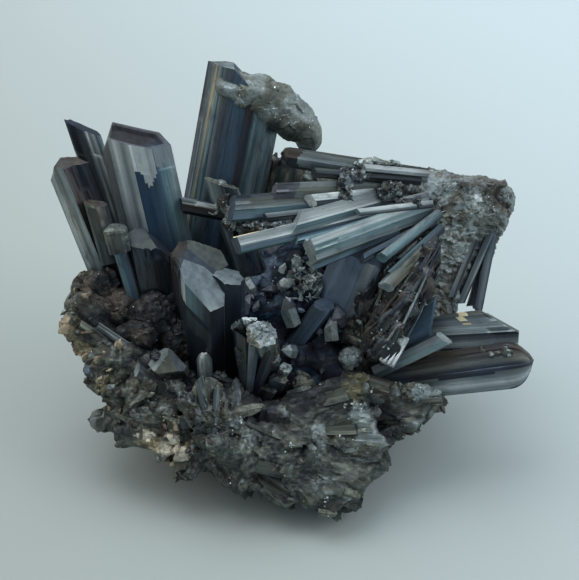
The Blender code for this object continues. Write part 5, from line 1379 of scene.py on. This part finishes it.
def paleFloor():
    # matt seamless paper: plain pale blue-grey, a little greyer towards the front left
    material, tree, shader = newMaterial("matt_pale_paper")
    place = addNode(tree, "ShaderNodeTexCoord").outputs["Object"]
    along = addNode(tree, "ShaderNodeVectorMath", {"operation": "DOT_PRODUCT"}, {1: (2.6, 1.5, 0.0)},
                    {0: place})
    fade = addNode(tree, "ShaderNodeMapRange", {"interpolation_type": "SMOOTHSTEP"},
                   {"From Min": -0.45, "From Max": 0.6}, {"Value": along.outputs["Value"]})
    paper = addNode(tree, "ShaderNodeMix", {"data_type": "RGBA"},
                    {"A": (*linear("#9aa09b"), 1.0), "B": (*linear(studio["floorColour"]), 1.0)},
                    {"Factor": fade.outputs["Result"]})
    tree.links.new(paper.outputs["Result"], shader.inputs["Base Color"])
    shader.inputs["Roughness"].default_value = 0.9
    return material


half = studio["floorHalf"]
floorMesh = bpy.data.meshes.new("floor")
floorMesh.from_pydata([(-half, -half, 0.0), (half, -half, 0.0), (half, half, 0.0), (-half, half, 0.0)],
                      [], [(0, 1, 2, 3)])
floorMesh.materials.append(paleFloor())
floor = linked("floor", floorMesh)

world = bpy.data.worlds.new("studio_surround")
world.use_nodes = True
bpy.context.scene.world = world
tree = world.node_tree
ray = addNode(tree, "ShaderNodeTexCoord").outputs["Generated"]
# brightness grows from a dark side, in front and low, to a pale one, behind and above
facing = addNode(tree, "ShaderNodeVectorMath", {"operation": "DOT_PRODUCT"}, {1: (0.15, 0.55, 0.8)}, {0: ray})
fade = addNode(tree, "ShaderNodeMapRange", {"interpolation_type": "SMOOTHSTEP"},
               {"From Min": -0.15, "From Max": 0.75, "To Min": 0.0, "To Max": 1.0},
               {"Value": facing.outputs["Value"]})
surround = addNode(tree, "ShaderNodeMix", {"data_type": "RGBA"},
                   {"A": (*linear(studio["shade"]), 1.0), "B": (*linear(studio["sky"]), 1.0)},
                   {"Factor": fade.outputs["Result"]})
background = tree.nodes["Background"]
background.inputs["Strength"].default_value = studio["skyStrength"]
tree.links.new(surround.outputs["Result"], background.inputs["Color"])

softboxes = {
    "overhead": dict(place=(-0.10, 0.25, 0.60), size=(0.6, 0.5), power=3.0, colour="#eef4f7"),
    "right_side": dict(place=(0.55, -0.05, 0.35), size=(0.4, 0.4), power=1.5, colour="#f1f5f7"),
    "left_warm": dict(place=(-0.50, 0.05, 0.30), size=(0.3, 0.4), power=0.6, colour="#ffe9cc"),
}
aim = Vector((0.0, 0.0, 0.025))
for name, box in softboxes.items():
    light = bpy.data.lights.new(name, "AREA")
    light.shape = "RECTANGLE"
    light.size, light.size_y = box["size"]
    light.energy = box["power"]
    light.color = linear(box["colour"])
    holder = linked(name, light)
    holder.location = box["place"]
    holder.rotation_euler = (aim - holder.location).to_track_quat("-Z", "Y").to_euler()

# the lens is 970 pixels long in a frame 579 pixels wide, on a sensor 36 mm wide
view = dict(pitch=36.5, focus=(0.0, 0.0, 0.024), distance=0.144, sensor=36.0, lens=970.0 / 579.0 * 36.0,
            nearest=0.005)
camera = bpy.data.cameras.new("view")
camera.sensor_fit = "HORIZONTAL"
camera.sensor_width = view["sensor"]
camera.lens = view["lens"]
camera.clip_start = view["nearest"]
cameraHolder = linked("view", camera)
pitch = math.radians(view["pitch"])
cameraHolder.location = (Vector(view["focus"])
                         + view["distance"] * Vector((0.0, -math.cos(pitch), math.sin(pitch))))
cameraHolder.rotation_euler = (math.pi / 2.0 - pitch, 0.0, 0.0)
bpy.context.scene.camera = cameraHolder
bpy.context.scene.view_settings.view_transform = "Standard"
print("floor, lights and camera are set")
